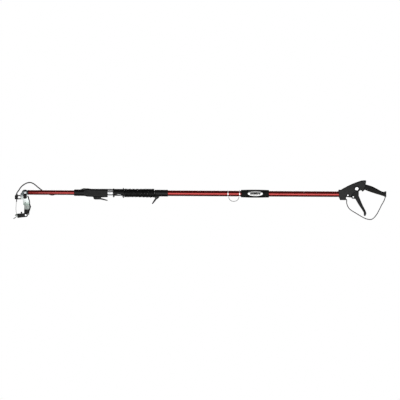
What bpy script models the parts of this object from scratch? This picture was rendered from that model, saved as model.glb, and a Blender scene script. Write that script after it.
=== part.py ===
"""A telescoping pole with a squeeze handle at one end and a cable-worked clamp head at the other.

The pole lies along X with the handle at +X, and +Z is up. The origin is on the pole's axis, at the
middle of the foam grip. All sizes are in metres and all angles in degrees. The side at -Y is the front.
"""

import math

import bmesh
import bpy
from mathutils import Matrix, Vector

# Clearances
GAP = 0.0003  # between pieces that touch or slide
ROUND = 24  # sides of a turned piece
TUBE_SIDES = 32  # sides of the pole's tubes and of what fits round them

# The three tubes, each sliding in the one before it
WALL = 0.0012
OUTER_R = 0.0175
MIDDLE_R = OUTER_R - WALL - GAP
TOP_R = MIDDLE_R - WALL - GAP
OUTER_ENDS = (-0.578, 0.560)
MIDDLE_ENDS = (-0.942, 0.280)
TOP_ENDS = (-1.390, -0.150)

# Sheathed cable
SHEATH_R = 0.0035
WIRE_R = 0.0012
CABLE_BACK = OUTER_R + SHEATH_R + 2 * GAP  # behind the outer tube
CABLE_OVER = 0.0208  # height of the cable that lies on the middle tube
COIL_ENDS = (-0.8035, -0.6163)
COIL_OUTER_R = 0.0265
COIL_INNER_R = 0.0190

# Handle
HOUSING_HALF = 0.021
LEVER_PIVOT = Vector((0.6238, 0.0, 0.0346))
LEVER_HALF = 0.010
ANCHOR = Vector((0.6030, 0.0, -0.0164))
CAVITY_HALF = 0.0175
GRIP_HALF = 0.016
ADJUSTER_AXIS = (0.0235, -0.006)  # Y and Z of the line that the cable enters on
FRONT_SCREW = Vector((0.5692, 0.0, -0.0062))
REAR_SCREW = Vector((0.5870, 0.0, -0.0054))

# Locks
LOWER_PIN = Vector((-0.603, 0.0, -0.0275))
UPPER_PIN = Vector((-0.968, 0.0, -0.0310))
CAM_R = 0.006
CHEEK_IN = 0.0075
CHEEK_OUT = 0.0115

# Wire bails
BAIL_R = 0.0015
CLIP_AT = (-0.1658, -0.0939)
CLIP_EYE_Z = -0.0220
STOP_AT = (-0.8680, -0.8070)
STOP_EYE_Z = -0.0245
STOP_SLEEVE_R = 0.0179
STOP_BAIL_TURN = -126.0  # folded up against the front of the coil stop

# Head
TILT_PIVOT = Vector((-1.4116, 0.0, -0.0030))
KNOB = Vector((-1.4100, 0.0, -0.0237))
ARM_PIVOT = Vector((-1.4060, 0.0, -0.1390))
EAR_HALF = 0.0065
PLATE_IN = 0.0070
PLATE_OUT = 0.0100
HEAD_HALF = 0.0105
FERRULE_X = -1.4625
STRAP_LINE = (
    (-1.3930, -0.0210),
    (-1.3850, -0.0490),
    (-1.3825, -0.0690),
    (-1.3785, -0.0885),
    (-1.3830, -0.1080),
    (-1.3868, -0.1220),
    (-1.3885, -0.1380),
)
STRAP_THICK = 0.005

# Colour (linear), roughness, metallic
RED = ((0.42, 0.012, 0.010), 0.22, 0.75)
BARE = ((0.80, 0.81, 0.82), 0.25, 1.0)
BLACK = ((0.018, 0.018, 0.019), 0.45, 0.0)
SOFT_BLACK = ((0.012, 0.012, 0.012), 0.75, 0.0)
ZINC = ((0.62, 0.65, 0.63), 0.35, 1.0)
STEEL = ((0.55, 0.56, 0.57), 0.28, 1.0)
DARK_STEEL = ((0.06, 0.06, 0.065), 0.4, 0.8)
WHITE = ((0.85, 0.85, 0.84), 0.4, 0.0)

JOINT_AT = {}  # world place of each joint's empty


# ---------------------------------------------------------------- helpers


def material(name, finish):
    colour, roughness, metallic = finish
    made = bpy.data.materials.new(name)
    made.use_nodes = True
    shader = made.node_tree.nodes["Principled BSDF"]
    shader.inputs["Base Color"].default_value = (*colour, 1.0)
    shader.inputs["Roughness"].default_value = roughness
    shader.inputs["Metallic"].default_value = metallic
    made.diffuse_color = (*colour, 1.0)
    return made


def joint(name, at, parent=None):
    """An empty on a joint's axis, which its moving pieces hang from."""
    empty = bpy.data.objects.new(name, None)
    empty.empty_display_size = 0.02
    empty.location = at - (JOINT_AT[parent.name] if parent else Vector())
    empty.parent = parent
    JOINT_AT[name] = at.copy()
    bpy.context.scene.collection.objects.link(empty)
    return empty


def add(name, data, finish, mover=None):
    """An object for this data. With no finish it is a helper that only shapes others."""
    made = bpy.data.objects.new(name, data)
    bpy.context.scene.collection.objects.link(made)
    if finish is None:
        made.hide_render = True
        made.display_type = "WIRE"
    else:
        data.materials.append(material(name, finish))
    if mover is not None:
        data.transform(Matrix.Translation(-JOINT_AT[mover.name]))
        made.parent = mover
    return made


def solid(name, bm, finish, mover=None):
    bmesh.ops.recalc_face_normals(bm, faces=bm.faces)
    mesh = bpy.data.meshes.new(name)
    bm.to_mesh(mesh)
    bm.free()
    mesh.shade_smooth()
    mesh.set_sharp_from_angle(angle=math.radians(35))
    return add(name, mesh, finish, mover)


def helper(name, bm):
    return solid(name, bm, None)


def combine(made, operation, *others):
    for other in others:
        step = made.modifiers.new(f"{operation.lower()}_{other.name}", "BOOLEAN")
        step.operation = operation
        step.object = other
    return made


def cut(made, *others):
    return combine(made, "DIFFERENCE", *others)


def join(made, *others):
    return combine(made, "UNION", *others)


def soften(made, width, segments=2):
    bevel = made.modifiers.new("soften", "BEVEL")
    bevel.width = width
    bevel.segments = segments
    bevel.limit_method = "ANGLE"
    bevel.angle_limit = math.radians(40)
    return made


def arc(centre, radius, start, end, steps=8):
    """Points on an arc in the X-Z plane, from one angle to another."""
    return [
        (
            centre[0] + radius * math.cos(math.radians(start + (end - start) * i / steps)),
            centre[-1] + radius * math.sin(math.radians(start + (end - start) * i / steps)),
        )
        for i in range(steps + 1)
    ]


def rounded(corners, radius, steps=4):
    """The outline with each corner replaced by a curve that starts and ends a radius away from it."""
    outline = []
    for i, corner in enumerate(corners):
        here = Vector(corner)
        before = Vector(corners[i - 1])
        after = Vector(corners[(i + 1) % len(corners)])
        start = here + (before - here).normalized() * min(radius, (before - here).length / 2.2)
        end = here + (after - here).normalized() * min(radius, (after - here).length / 2.2)
        for k in range(steps + 1):
            t = k / steps
            outline.append(tuple(start * (1 - t) ** 2 + here * 2 * t * (1 - t) + end * t**2))
    return outline


def prism(outline, low, high, along="Y"):
    """A bmesh of an outline pushed from low to high along Y (points X, Z) or X (points Y, Z)."""
    bm = bmesh.new()

    def loop(depth):
        points = [(a, depth, b) if along == "Y" else (depth, a, b) for a, b in outline]
        return [bm.verts.new(point) for point in points]

    first = loop(low)
    last = loop(high)
    bm.faces.new(first)
    bm.faces.new(last)
    for i in range(len(outline)):
        bm.faces.new((first[i - 1], first[i], last[i], last[i - 1]))
    return bm


def box(low, high):
    corners = [(low[0], low[2]), (high[0], low[2]), (high[0], high[2]), (low[0], high[2])]
    return prism(corners, low[1], high[1])


def turned(profile, centre=(0, 0, 0), axis=(1, 0, 0), sides=ROUND):
    """A bmesh of a profile of (distance along the axis, radius), turned round the axis."""
    bm = bmesh.new()
    ring = [bm.verts.new((radius, 0, along)) for along, radius in profile]
    hollow = profile[0][1] > 0
    after = ring[1:] + ring[:1] if hollow else ring[1:]
    edges = [bm.edges.new(pair) for pair in zip(ring, after)]
    bmesh.ops.spin(
        bm, geom=ring + edges, axis=(0, 0, 1), angle=2 * math.pi, steps=sides, use_merge=True
    )
    bmesh.ops.remove_doubles(bm, verts=bm.verts, dist=1e-6)
    turn = Vector((0, 0, 1)).rotation_difference(Vector(axis)).to_matrix().to_4x4()
    bmesh.ops.transform(bm, matrix=Matrix.Translation(centre) @ turn, verts=bm.verts)
    return bm


def rod(start, end, radius, sides=16):
    start = Vector(start)
    axis = Vector(end) - start
    profile = [(0, 0), (0, radius), (axis.length, radius), (axis.length, 0)]
    return turned(profile, start, axis.normalized(), sides)


def cross_hole(at, radius, sides=16):
    """A cutter along Y, longer than anything it goes through."""
    return rod((at.x, -0.04, at.z), (at.x, 0.04, at.z), radius, sides)


def sleeve(ends, inner, outer, sides=TUBE_SIDES):
    low, high = ends
    return turned([(low, outer), (high, outer), (high, inner), (low, inner)], sides=sides)


def cross_bolt(name, at, finish, head, shank, front, back, mover=None):
    """A bolt along Y: head is (radius, thickness), and its shank runs from front to back."""
    head_r, head_t = head
    profile = [
        (front - head_t, 0),
        (front - head_t, head_r * 0.8),
        (front - head_t * 0.6, head_r),
        (front, head_r),
        (front, shank),
        (back, shank),
        (back, 0),
    ]
    return solid(name, turned(profile, (at.x, 0, at.z), (0, 1, 0), 16), finish, mover)


def smooth_route(points, per_span=4):
    """Points on a smooth curve through the route's own points."""
    route = [Vector(p) for p in points]
    route = [2 * route[0] - route[1], *route, 2 * route[-1] - route[-2]]
    out = []
    for a, b, c, d in zip(route, route[1:], route[2:], route[3:]):
        for k in range(per_span):
            t = k / per_span
            out.append(
                0.5
                * (
                    2 * b
                    + (c - a) * t
                    + (2 * a - 5 * b + 4 * c - d) * t**2
                    + (3 * b - a - 3 * c + d) * t**3
                )
            )
    return [*out, route[-2]]


def tube(name, points, radius, finish, mover=None, resolution=2, per_span=4):
    curve = bpy.data.curves.new(name, "CURVE")
    curve.dimensions = "3D"
    curve.bevel_depth = radius
    curve.bevel_resolution = resolution
    curve.use_fill_caps = True
    spline = curve.splines.new("POLY")
    route = smooth_route(points, per_span)
    spline.points.add(len(route) - 1)
    for place, point in zip(spline.points, route):
        place.co = (*point, 1.0)
    spline.use_smooth = True
    return add(name, curve, finish, mover)


def soften_sides(bm, half, width, skip=lambda edge: False, segments=3):
    """Rounds the edges of a prism that lie at its full half-width."""
    edges = [
        edge
        for edge in bm.edges
        if all(abs(abs(v.co.y) - half) < 1e-6 for v in edge.verts) and not skip(edge)
    ]
    bmesh.ops.bevel(
        bm, geom=edges, offset=width, segments=segments, profile=0.5, affect="EDGES"
    )
    return bm


# ---------------------------------------------------------------- handle

HOUSING_TOP = (
    (0.5105, 0.0190),
    (0.5145, 0.0285),
    (0.5250, 0.0265),
    (0.5620, 0.0470),
    (0.5950, 0.0630),
    (0.6330, 0.0780),
    (0.6540, 0.0845),
    (0.6740, 0.0862),
    (0.6815, 0.0835),
)
HOUSING_BACK = ((0.6785, 0.0610), (0.6720, 0.0265), (0.6607, 0.0165), (0.6520, 0.0265))
HOUSING_UNDER = (
    (0.6370, 0.0190),
    (0.6240, 0.0160),
    (0.6110, 0.0105),
    (0.6000, 0.0000),
    (0.5925, -0.0095),
    (0.5895, -0.0205),
    (0.5594, -0.0165),
    (0.5569, -0.0366),
    (0.5244, -0.0366),
    (0.5170, -0.0240),
)
CAVITY = (
    (0.5630, -0.0120),
    (0.5860, -0.0165),
    (0.5890, -0.0400),
    (0.6430, -0.0400),
    (0.6442, 0.0250),
    (0.6480, 0.0320),
    (0.6480, 0.0740),
    (0.6330, 0.0720),
    (0.5970, 0.0575),
    (0.5650, 0.0420),
    (0.5630, 0.0350),
)


def wire_turn():
    """Where the inner wire leaves the adjuster's line, and where it meets the anchor pin."""
    across, height = ADJUSTER_AXIS
    return Vector((0.545, across, height)), Vector((0.5985, 0.0135, -0.0155))


def housing_cutters():
    leave, reach = wire_turn()
    shared = [
        helper("cut_tube_socket", rod((0.50, 0, 0), (0.5603, 0, 0), OUTER_R + GAP, TUBE_SIDES)),
        helper("cut_cavity", prism(CAVITY, -CAVITY_HALF, CAVITY_HALF)),
        helper("cut_grip_pocket", box((0.6520, -0.0093, 0.0317), (0.700, 0.0093, 0.0573))),
        helper("cut_pivot_hole", cross_hole(LEVER_PIVOT, 0.0053)),
        helper("cut_front_screw", cross_hole(FRONT_SCREW, 0.0025)),
        helper("cut_rear_screw", cross_hole(REAR_SCREW, 0.0021)),
        helper("cut_guard_hole", rod((0.5440, 0, -0.0302), (0.5800, 0, -0.0302), 0.0033)),
    ]
    across, height = ADJUSTER_AXIS
    right = [
        helper("cut_adjuster", rod((0.50, across, height), (0.5490, across, height), 0.0048)),
        helper("cut_wire_way", rod(leave, reach, 0.0024)),
    ]
    return shared, right


def housing(side, cutters, extras=()):
    """One shell: side is -1 for the front and 1 for the back."""
    outline = HOUSING_TOP + HOUSING_BACK + HOUSING_UNDER
    shell = prism(outline, side * GAP / 2, side * HOUSING_HALF)
    soften_sides(shell, HOUSING_HALF, 0.0030, segments=2)
    made = solid("housing_left" if side < 0 else "housing_right", shell, BLACK)
    join(made, *extras)
    return cut(made, *cutters)


def make_housing():
    shared, right = housing_cutters()
    across, height = ADJUSTER_AXIS
    ring = [
        (0, 0),
        (0, 0.01625),
        (0.0035, 0.01625),
        (0.0045, 0.0150),
        (0.0045, 0),
    ]
    inside_front = (LEVER_PIVOT.x, 0.0025 - HOUSING_HALF, LEVER_PIVOT.z)
    front_boss = helper("join_pivot_ring", turned(ring, inside_front, (0, -1, 0)))
    profile = [
        (0.516, 0),
        (0.516, 0.0058),
        (0.5175, 0.0065),
        (0.570, 0.0065),
        (0.576, 0.003),
        (0.576, 0),
    ]
    cable_boss = helper("join_cable_boss", turned(profile, (0, across, height)))
    housing(-1, shared, [front_boss])
    housing(1, [*shared, *right], [cable_boss])


def make_fasteners():
    front = -HOUSING_HALF - 0.0020
    head = (0.0110, 0.0025)
    cross_bolt("pivot_bolt", LEVER_PIVOT, STEEL, head, 0.0050, front - GAP, 0.0290)
    nut = prism(arc(LEVER_PIVOT, 0.0088, 0, 300, 5), HOUSING_HALF + GAP, HOUSING_HALF + 0.0065)
    cut(solid("pivot_nut", nut, ZINC), helper("cut_nut", cross_hole(LEVER_PIVOT, 0.0053)))
    out = -HOUSING_HALF - GAP
    cross_bolt("housing_screw_front", FRONT_SCREW, STEEL, (0.0045, 0.0020), 0.0022, out, 0.0200)
    cross_bolt("housing_screw_rear", REAR_SCREW, DARK_STEEL, (0.0032, 0.0016), 0.0018, out, 0.0200)


def make_rear_grip():
    top = ((0.6815, 0.0605), (0.7000, 0.0555), (0.7239, 0.0470), (0.7534, 0.0320), (0.7767, 0.0195))
    tip = ((0.7940, 0.0150), (0.7940, -0.0115))
    under = ((0.7534, 0.0000), (0.7090, 0.0140), (0.6858, 0.0230), (0.6753, 0.0268))
    shape = prism(top + tip + under, -GRIP_HALF, GRIP_HALF)

    def at_end(edge):
        xs = [v.co.x for v in edge.verts]
        return min(xs) > 0.7939 or max(xs) < 0.6816

    soften_sides(shape, GRIP_HALF, 0.0085, at_end)
    grip = solid("rear_grip", shape, SOFT_BLACK)
    tongue = helper("join_grip_tongue", box((0.6523, -0.009, 0.0320), (0.690, 0.009, 0.0570)))
    join(grip, tongue)


def make_end_cap():
    corners = ((0.7943, 0.0185), (0.8050, 0.0195), (0.8050, -0.0160), (0.7943, -0.0150))
    plate = prism(rounded(corners, 0.002, 2), -0.0175, 0.0175)
    cap = soften(solid("grip_end_cap", plate, BLACK), 0.0012, 1)
    cut(cap, helper("cut_guard_seat", rod((0.7996, 0, -0.0300), (0.7996, 0, -0.0040), 0.0031)))


def make_guard():
    route = (
        (0.5465, -0.0302),
        (0.5560, -0.0302),
        (0.5610, -0.0316),
        (0.5636, -0.0370),
        (0.5636, -0.0540),
        (0.5716, -0.0770),
        (0.5864, -0.0950),
        (0.6128, -0.1115),
        (0.6539, -0.1360),
        (0.6828, -0.1500),
        (0.7067, -0.1545),
        (0.7239, -0.1500),
        (0.7417, -0.1320),
        (0.7564, -0.1090),
        (0.7767, -0.0680),
        (0.7914, -0.0410),
        (0.7988, -0.0220),
        (0.7996, -0.0150),
        (0.7996, -0.0050),
    )
    tube("hand_guard", [(x, 0, z) for x, z in route], 0.00275, STEEL, per_span=2)


def lever_outline():
    """The squeeze lever from the side: pivot boss, cable nose and curved finger blade."""
    boss = arc(LEVER_PIVOT, 0.0135, -5, 185, 10)
    nose = arc(ANCHOR, 0.0115, 160, 290, 8)
    blade_front = ((0.6180, -0.0300), (0.6360, -0.0620), (0.6655, -0.1060), (0.6695, -0.1240))
    tip = arc((0.6752, -0.1275), 0.0055, 190, 350, 6)
    blade_back = ((0.6846, -0.1180), (0.6800, -0.1030), (0.6594, -0.0620), (0.6370, -0.0095))
    return [*boss, *nose, *blade_front, *tip, *blade_back]


def make_lever(mover):
    lever = solid("squeeze_lever", prism(lever_outline(), -LEVER_HALF, LEVER_HALF), BLACK, mover)
    soften(lever, 0.0025)
    bush_hole = helper("cut_bush_hole", cross_hole(LEVER_PIVOT, 0.0080))
    pin_hole = helper("cut_anchor_hole", cross_hole(ANCHOR, 0.0035))
    cut(lever, bush_hole, pin_hole)
    ring = [(-0.0103, 0.0077), (0.0103, 0.0077), (0.0103, 0.0053), (-0.0103, 0.0053)]
    bush = turned(ring, LEVER_PIVOT, (0, 1, 0), 16)
    solid("lever_bush", bush, ((0.55, 0.36, 0.12), 0.35, 1.0), mover)
    head = (0.0048, 0.0020)
    cross_bolt("cable_anchor_pin", ANCHOR, STEEL, head, 0.0032, -LEVER_HALF - GAP, 0.0170, mover)


def make_return_spring():
    ring = [(-0.0165, 0.0115), (-0.0108, 0.0115), (-0.0108, 0.0086), (-0.0165, 0.0086)]
    solid("return_spring", turned(ring, LEVER_PIVOT, (0, 1, 0), 16), STEEL)


def make_handle_cable():
    """The adjuster screwed into the housing, the bare wire inside, and the sheath along the tube."""
    across, height = ADJUSTER_AXIS
    profile = [
        (0.4980, 0.0058),
        (0.5130, 0.0058),
        (0.5130, 0.0045),
        (0.5320, 0.0045),
        (0.5320, 0.0016),
        (0.5080, 0.0016),
        (0.5080, 0.0039),
        (0.4980, 0.0039),
    ]
    solid("cable_adjuster", turned(profile, (0, across, height), sides=16), STEEL)
    leave, reach = wire_turn()
    wire = [(0.5090, across, height), (0.5300, across, height), leave, reach]
    tube("handle_inner_wire", wire, WIRE_R, STEEL, resolution=1, per_span=4)
    clear_of_lock = 0.0247
    route = (
        (COIL_ENDS[1] + GAP, clear_of_lock, 0),
        (-0.5950, clear_of_lock, 0),
        (-0.5300, clear_of_lock, 0),
        (-0.4950, CABLE_BACK, 0),
        (-0.4600, CABLE_BACK, 0),
        (0.4200, CABLE_BACK, 0),
        (0.4550, CABLE_BACK, 0),
        (0.4800, 0.0225, -0.0025),
        (0.5000, across, height),
        (0.5075, across, height),
    )
    tube("lower_cable", route, SHEATH_R, SOFT_BLACK, per_span=3)


# ---------------------------------------------------------------- outer tube and its fittings


def saddle(name, x, tube_r, cable_y, cable_z, mover=None):
    """A small block that holds the sheath against the back of a tube."""
    top = cable_y + SHEATH_R + 0.002
    block = box((x - 0.008, tube_r * 0.75, cable_z - 0.0065), (x + 0.008, top, cable_z + 0.0065))
    made = soften(solid(name, block, BLACK, mover), 0.0010, 1)
    ends = (x - 0.02, x + 0.02)
    tube_cut = rod((ends[0], 0, 0), (ends[1], 0, 0), tube_r + GAP, TUBE_SIDES)
    hollow = SHEATH_R + GAP
    channel = [
        (0.005, cable_z - hollow),
        *arc((cable_y, cable_z), hollow, -90, 90, 10),
        (0.005, cable_z + hollow),
    ]
    way = prism(channel, *ends, along="X")
    return cut(made, helper(f"cut_{name}_tube", tube_cut), helper(f"cut_{name}_cable", way))


def make_outer_tube():
    solid("outer_tube", sleeve(OUTER_ENDS, OUTER_R - WALL, OUTER_R), RED)
    saddle("cable_saddle", 0.300, OUTER_R, CABLE_BACK, 0)


def foam_radius(x, half=0.086):
    """The foam swells from 22.8 mm at its ends to 24.5 mm in the middle, with rounded ends."""
    swell = 0.0228 + 0.0017 * math.cos(math.pi / 2 * x / half)
    from_end = min(half - abs(x), 0.003) / 0.003
    return swell - 0.0020 * (1 - math.sqrt(1 - (1 - from_end) ** 2))


def make_foam_grip():
    half = 0.086
    stations = [0.0, 0.0006, 0.003, 0.030, half]
    left = [-half + s for s in stations]
    right = [-x for x in reversed(left[:-1])]
    outer = [(x, foam_radius(x)) for x in left + right]
    foam = solid("foam_grip", turned([*outer, (half, 0.0178), (-half, 0.0178)]), SOFT_BLACK)
    slot = box((-0.1, 0.010, -0.0039), (0.1, 0.040, 0.0039))
    cut(foam, helper("cut_foam_slot", slot))


def make_badge():
    inner, outer = 0.0249, 0.0258
    plaque = solid("grip_badge", sleeve((-0.060, 0.060), inner, outer, 64), WHITE)
    oval = [
        (0.0015 + 0.0465 * math.cos(math.tau * i / 40), 0.0150 * math.sin(math.tau * i / 40))
        for i in range(40)
    ]
    combine(plaque, "INTERSECT", helper("keep_badge_oval", prism(oval, -0.040, -0.001)))


def bail_points(ends, eye_z, drop):
    """A wire bail in its hanging position: its ends lie in two eyes, and it sags between them."""
    low, high = ends
    middle = (low + high) / 2
    half = (high - low) / 2 - 0.0065
    hang = [
        (middle - half * math.cos(math.pi * i / 10), eye_z - 0.003 - drop * math.sin(math.pi * i / 10))
        for i in range(11)
    ]
    flat = [(low - 0.0020, eye_z), (low + 0.0035, eye_z)]
    back = [(high - 0.0035, eye_z), (high + 0.0020, eye_z)]
    return [Vector((x, 0, z)) for x, z in flat + hang + back]


def make_hose_clip(mover):
    for name, x in zip(("front", "rear"), CLIP_AT):
        band = sleeve((x - 0.003, x + 0.003), OUTER_R + GAP, OUTER_R + 0.0018)
        made = solid(f"hose_clip_band_{name}", band, STEEL)
        eye = box((x - 0.003, -0.0035, -0.0255), (x + 0.003, 0.0035, -0.0180))
        join(made, helper(f"join_eye_{name}", eye))
        back = box((x - 0.01, 0.010, -0.0075), (x + 0.01, 0.030, 0.0075))
        hole = rod((x - 0.01, 0, CLIP_EYE_Z), (x + 0.01, 0, CLIP_EYE_Z), BAIL_R + GAP, 12)
        cut(made, helper(f"cut_band_{name}", back), helper(f"cut_eye_{name}", hole))
    points = bail_points(CLIP_AT, CLIP_EYE_Z, 0.0230)
    tube("hose_clip_bail", points, BAIL_R, STEEL, mover, resolution=1, per_span=1)


# ---------------------------------------------------------------- locks


def lock_fittings(name, pin, pad_ends, slot_top, slot_ends, mover=None):
    """Makes a lock's pin and pad, and gives the cutters that its body needs for them and the lever."""
    window = box((pin.x - 0.0083, -0.0064, slot_top - 0.001), (pin.x + 0.0083, 0.0064, -0.0120))
    slot = box((slot_ends[0], -CHEEK_IN, -0.070), (slot_ends[1], CHEEK_IN, slot_top))
    reach = CHEEK_OUT + 0.001
    shank = rod((pin.x, -reach, pin.z), (pin.x, reach, pin.z), 0.0022)
    solid(f"{name}_pin", shank, STEEL, mover)
    pad = box((pin.x - 0.0080, -0.0060, pad_ends[0]), (pin.x + 0.0080, 0.0060, pad_ends[1]))
    solid(f"{name}_pad", pad, SOFT_BLACK, mover)
    return [
        helper(f"cut_{name}_window", window),
        helper(f"cut_{name}_slot", slot),
        helper(f"cut_{name}_pin", cross_hole(pin, 0.0025)),
    ]


def lock_lever(name, pin, angle, length, root, tip, mover):
    """A flip lever with a round cam on its pin: angle is its direction in the X-Z plane."""
    along = Vector((math.cos(math.radians(angle)), math.sin(math.radians(angle))))
    side = Vector((-along.y, along.x))
    centre = Vector((pin.x, pin.z))

    def at(distance, width):
        return tuple(centre + along * distance + side * width)

    cam = arc(pin, CAM_R, angle + 62, angle + 298, 14)
    outline = [
        *cam,
        at(length * 0.30, -root),
        at(length * 0.85, -tip),
        at(length, -tip * 0.55),
        at(length, tip * 0.55),
        at(length * 0.85, tip),
        at(length * 0.30, root),
    ]
    made = solid(name, prism(outline, -0.0072, 0.0072), BLACK, mover)
    return cut(soften(made, 0.0010, 1), helper(f"cut_{name}_hole", cross_hole(pin, 0.0025)))


def make_lower_lock(mover):
    profile = [
        (-0.6130, 0.0200),
        (-0.6115, 0.0207),
        (-0.5360, 0.0207),
        (-0.5340, 0.0193),
        (-0.5340, OUTER_R + GAP),
        (OUTER_ENDS[0] - GAP, OUTER_R + GAP),
        (OUTER_ENDS[0] - GAP, MIDDLE_R + GAP),
        (-0.6130, MIDDLE_R + GAP),
    ]
    collar = solid("lower_lock_collar", turned(profile, sides=TUBE_SIDES), BLACK)
    cheek = [
        (-0.6150, -0.0166),
        (-0.6150, -0.0260),
        *arc(LOWER_PIN, 0.0095, 215, 325, 6),
        (-0.5880, -0.0260),
        (-0.5850, -0.0166),
    ]
    join(collar, helper("join_lower_cheeks", prism(cheek, -CHEEK_OUT, CHEEK_OUT)))
    keep_bore = rod((-0.640, 0, 0), (OUTER_ENDS[0] - GAP, 0, 0), MIDDLE_R + GAP, TUBE_SIDES)
    pad_ends = (-0.0211, -MIDDLE_R - 0.0004)
    fittings = lock_fittings("lower_lock", LOWER_PIN, pad_ends, -0.0212, (-0.650, -0.570))
    cut(collar, helper("cut_lower_bore", keep_bore), *fittings)
    lock_lever("lower_lock_lever", LOWER_PIN, -125, 0.0475, 0.0058, 0.0036, mover)


def make_upper_lock(mover, lever_mover):
    body_half = 0.0210
    outline = (
        (-1.0500, 0.0195),
        (-1.0297, 0.0272),
        (-1.0050, 0.0243),
        (-0.9038, 0.0215),
        (-0.9038, -0.0265),
        (-0.9450, -0.0285),
        (-1.0297, -0.0240),
        (-1.0500, -0.0190),
    )
    shape = prism(outline, -body_half, body_half)

    def at_end(edge):
        xs = [v.co.x for v in edge.verts]
        return min(xs) > -0.9039 or max(xs) < -1.0499

    soften_sides(shape, body_half, 0.0100, at_end)
    body = solid("upper_lock_body", shape, BLACK, mover)
    nose = [
        (-1.1095, 0),
        (-1.1095, 0.0185),
        (-1.1080, 0.0200),
        (-1.0300, 0.0200),
        (-1.0300, 0),
    ]
    cheek = [
        (-0.9935, -0.0220),
        (-0.9900, -0.0370),
        (-0.9830, -0.0415),
        (-0.9530, -0.0415),
        (-0.9470, -0.0370),
        (-0.9440, -0.0220),
    ]
    join(
        body,
        helper("join_upper_nose", turned(nose, sides=TUBE_SIDES)),
        helper("join_upper_cheeks", prism(cheek, -CHEEK_OUT, CHEEK_OUT)),
    )
    socket = rod((MIDDLE_ENDS[0] - GAP, 0, 0), (-0.890, 0, 0), MIDDLE_R + GAP, TUBE_SIDES)
    bores = [
        helper("cut_top_bore", rod((-1.120, 0, 0), (-0.940, 0, 0), TOP_R + GAP, TUBE_SIDES)),
        helper("cut_middle_socket", socket),
        helper("cut_cable_groove", box((-1.060, -0.0039, 0.0170), (-0.890, 0.0039, 0.040))),
        helper("cut_cable_corner", box((-1.065, -0.0035, 0.0182), (-1.0300, 0.0300, 0.041))),
    ]
    pad_ends = (-0.0246, -TOP_R - 0.0004)
    fittings = lock_fittings("upper_lock", UPPER_PIN, pad_ends, -0.0248, (-1.000, -0.930), mover)
    cut(body, *bores, *fittings)
    lock_lever("upper_lock_lever", UPPER_PIN, -14, 0.0660, 0.0052, 0.0034, lever_mover)


# ---------------------------------------------------------------- middle and top sections


def end_bush(name, x, tube_r, mover):
    """A guide ring in a tube's inner end, which slides in the next tube and keeps the two together."""
    bore = tube_r - WALL
    profile = [
        (x - 0.018, bore - GAP),
        (x + GAP, bore - GAP),
        (x + GAP, tube_r + GAP / 2),
        (x + 0.006, tube_r + GAP / 2),
        (x + 0.006, bore - 0.004),
        (x - 0.018, bore - 0.004),
    ]
    solid(name, turned(profile), SOFT_BLACK, mover)


def make_middle(mover, bail_mover):
    solid("middle_tube", sleeve(MIDDLE_ENDS, MIDDLE_R - WALL, MIDDLE_R), BARE, mover)
    end_bush("middle_tube_bush", MIDDLE_ENDS[1], MIDDLE_R, mover)
    make_coil_stop(mover, bail_mover)
    route = (
        (COIL_ENDS[0] - GAP, 0, CABLE_OVER),
        (-0.8600, 0, CABLE_OVER),
        (-0.9000, 0, CABLE_OVER),
        (-1.0150, 0, CABLE_OVER),
        (-1.0350, 0.0010, 0.0225),
        (-1.0500, 0.0060, 0.0240),
        (-1.0650, 0.0145, 0.0200),
        (-1.0800, 0.0215, 0.0115),
        (-1.0930, 0.0240, 0.0035),
        (-1.1030, 0.0242, 0.0010),
        (-1.1095, 0.0242, 0.0010),
    )
    tube("middle_cable", route, SHEATH_R, SOFT_BLACK, mover, per_span=3)


def make_coil_stop(mover, bail_mover):
    """A split sleeve on the middle tube, with two flanges that carry a wire bail."""
    low, high = STOP_AT
    thick = 0.003
    profile = [
        (low - thick, 0.0262),
        (low - thick + 0.001, 0.0276),
        (low + thick, 0.0276),
        (low + thick, STOP_SLEEVE_R),
        (high - thick, STOP_SLEEVE_R),
        (high - thick, 0.0310),
        (high + thick - 0.001, 0.0310),
        (high + thick, 0.0296),
        (high + thick, MIDDLE_R + GAP),
        (low - thick, MIDDLE_R + GAP),
    ]
    made = solid("coil_stop", turned(profile, sides=TUBE_SIDES), BLACK, mover)
    split = box((low - 0.01, -0.0039, 0.005), (high + 0.01, 0.0039, 0.045))
    eyes = rod((low - 0.01, 0, STOP_EYE_Z), (high + 0.01, 0, STOP_EYE_Z), BAIL_R + GAP, 12)
    cut(made, helper("cut_stop_split", split), helper("cut_stop_eyes", eyes))
    eye = Vector((0, 0, STOP_EYE_Z))
    fold = Matrix.Rotation(math.radians(STOP_BAIL_TURN), 3, "X")
    points = [fold @ (p - eye) + eye for p in bail_points(STOP_AT, STOP_EYE_Z, 0.0225)]
    tube("coil_stop_bail", points, BAIL_R, STEEL, bail_mover, resolution=1, per_span=1)


def make_coil():
    ring = sleeve(COIL_ENDS, COIL_INNER_R, COIL_OUTER_R, 32)
    solid("cable_coil", ring, SOFT_BLACK)


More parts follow.
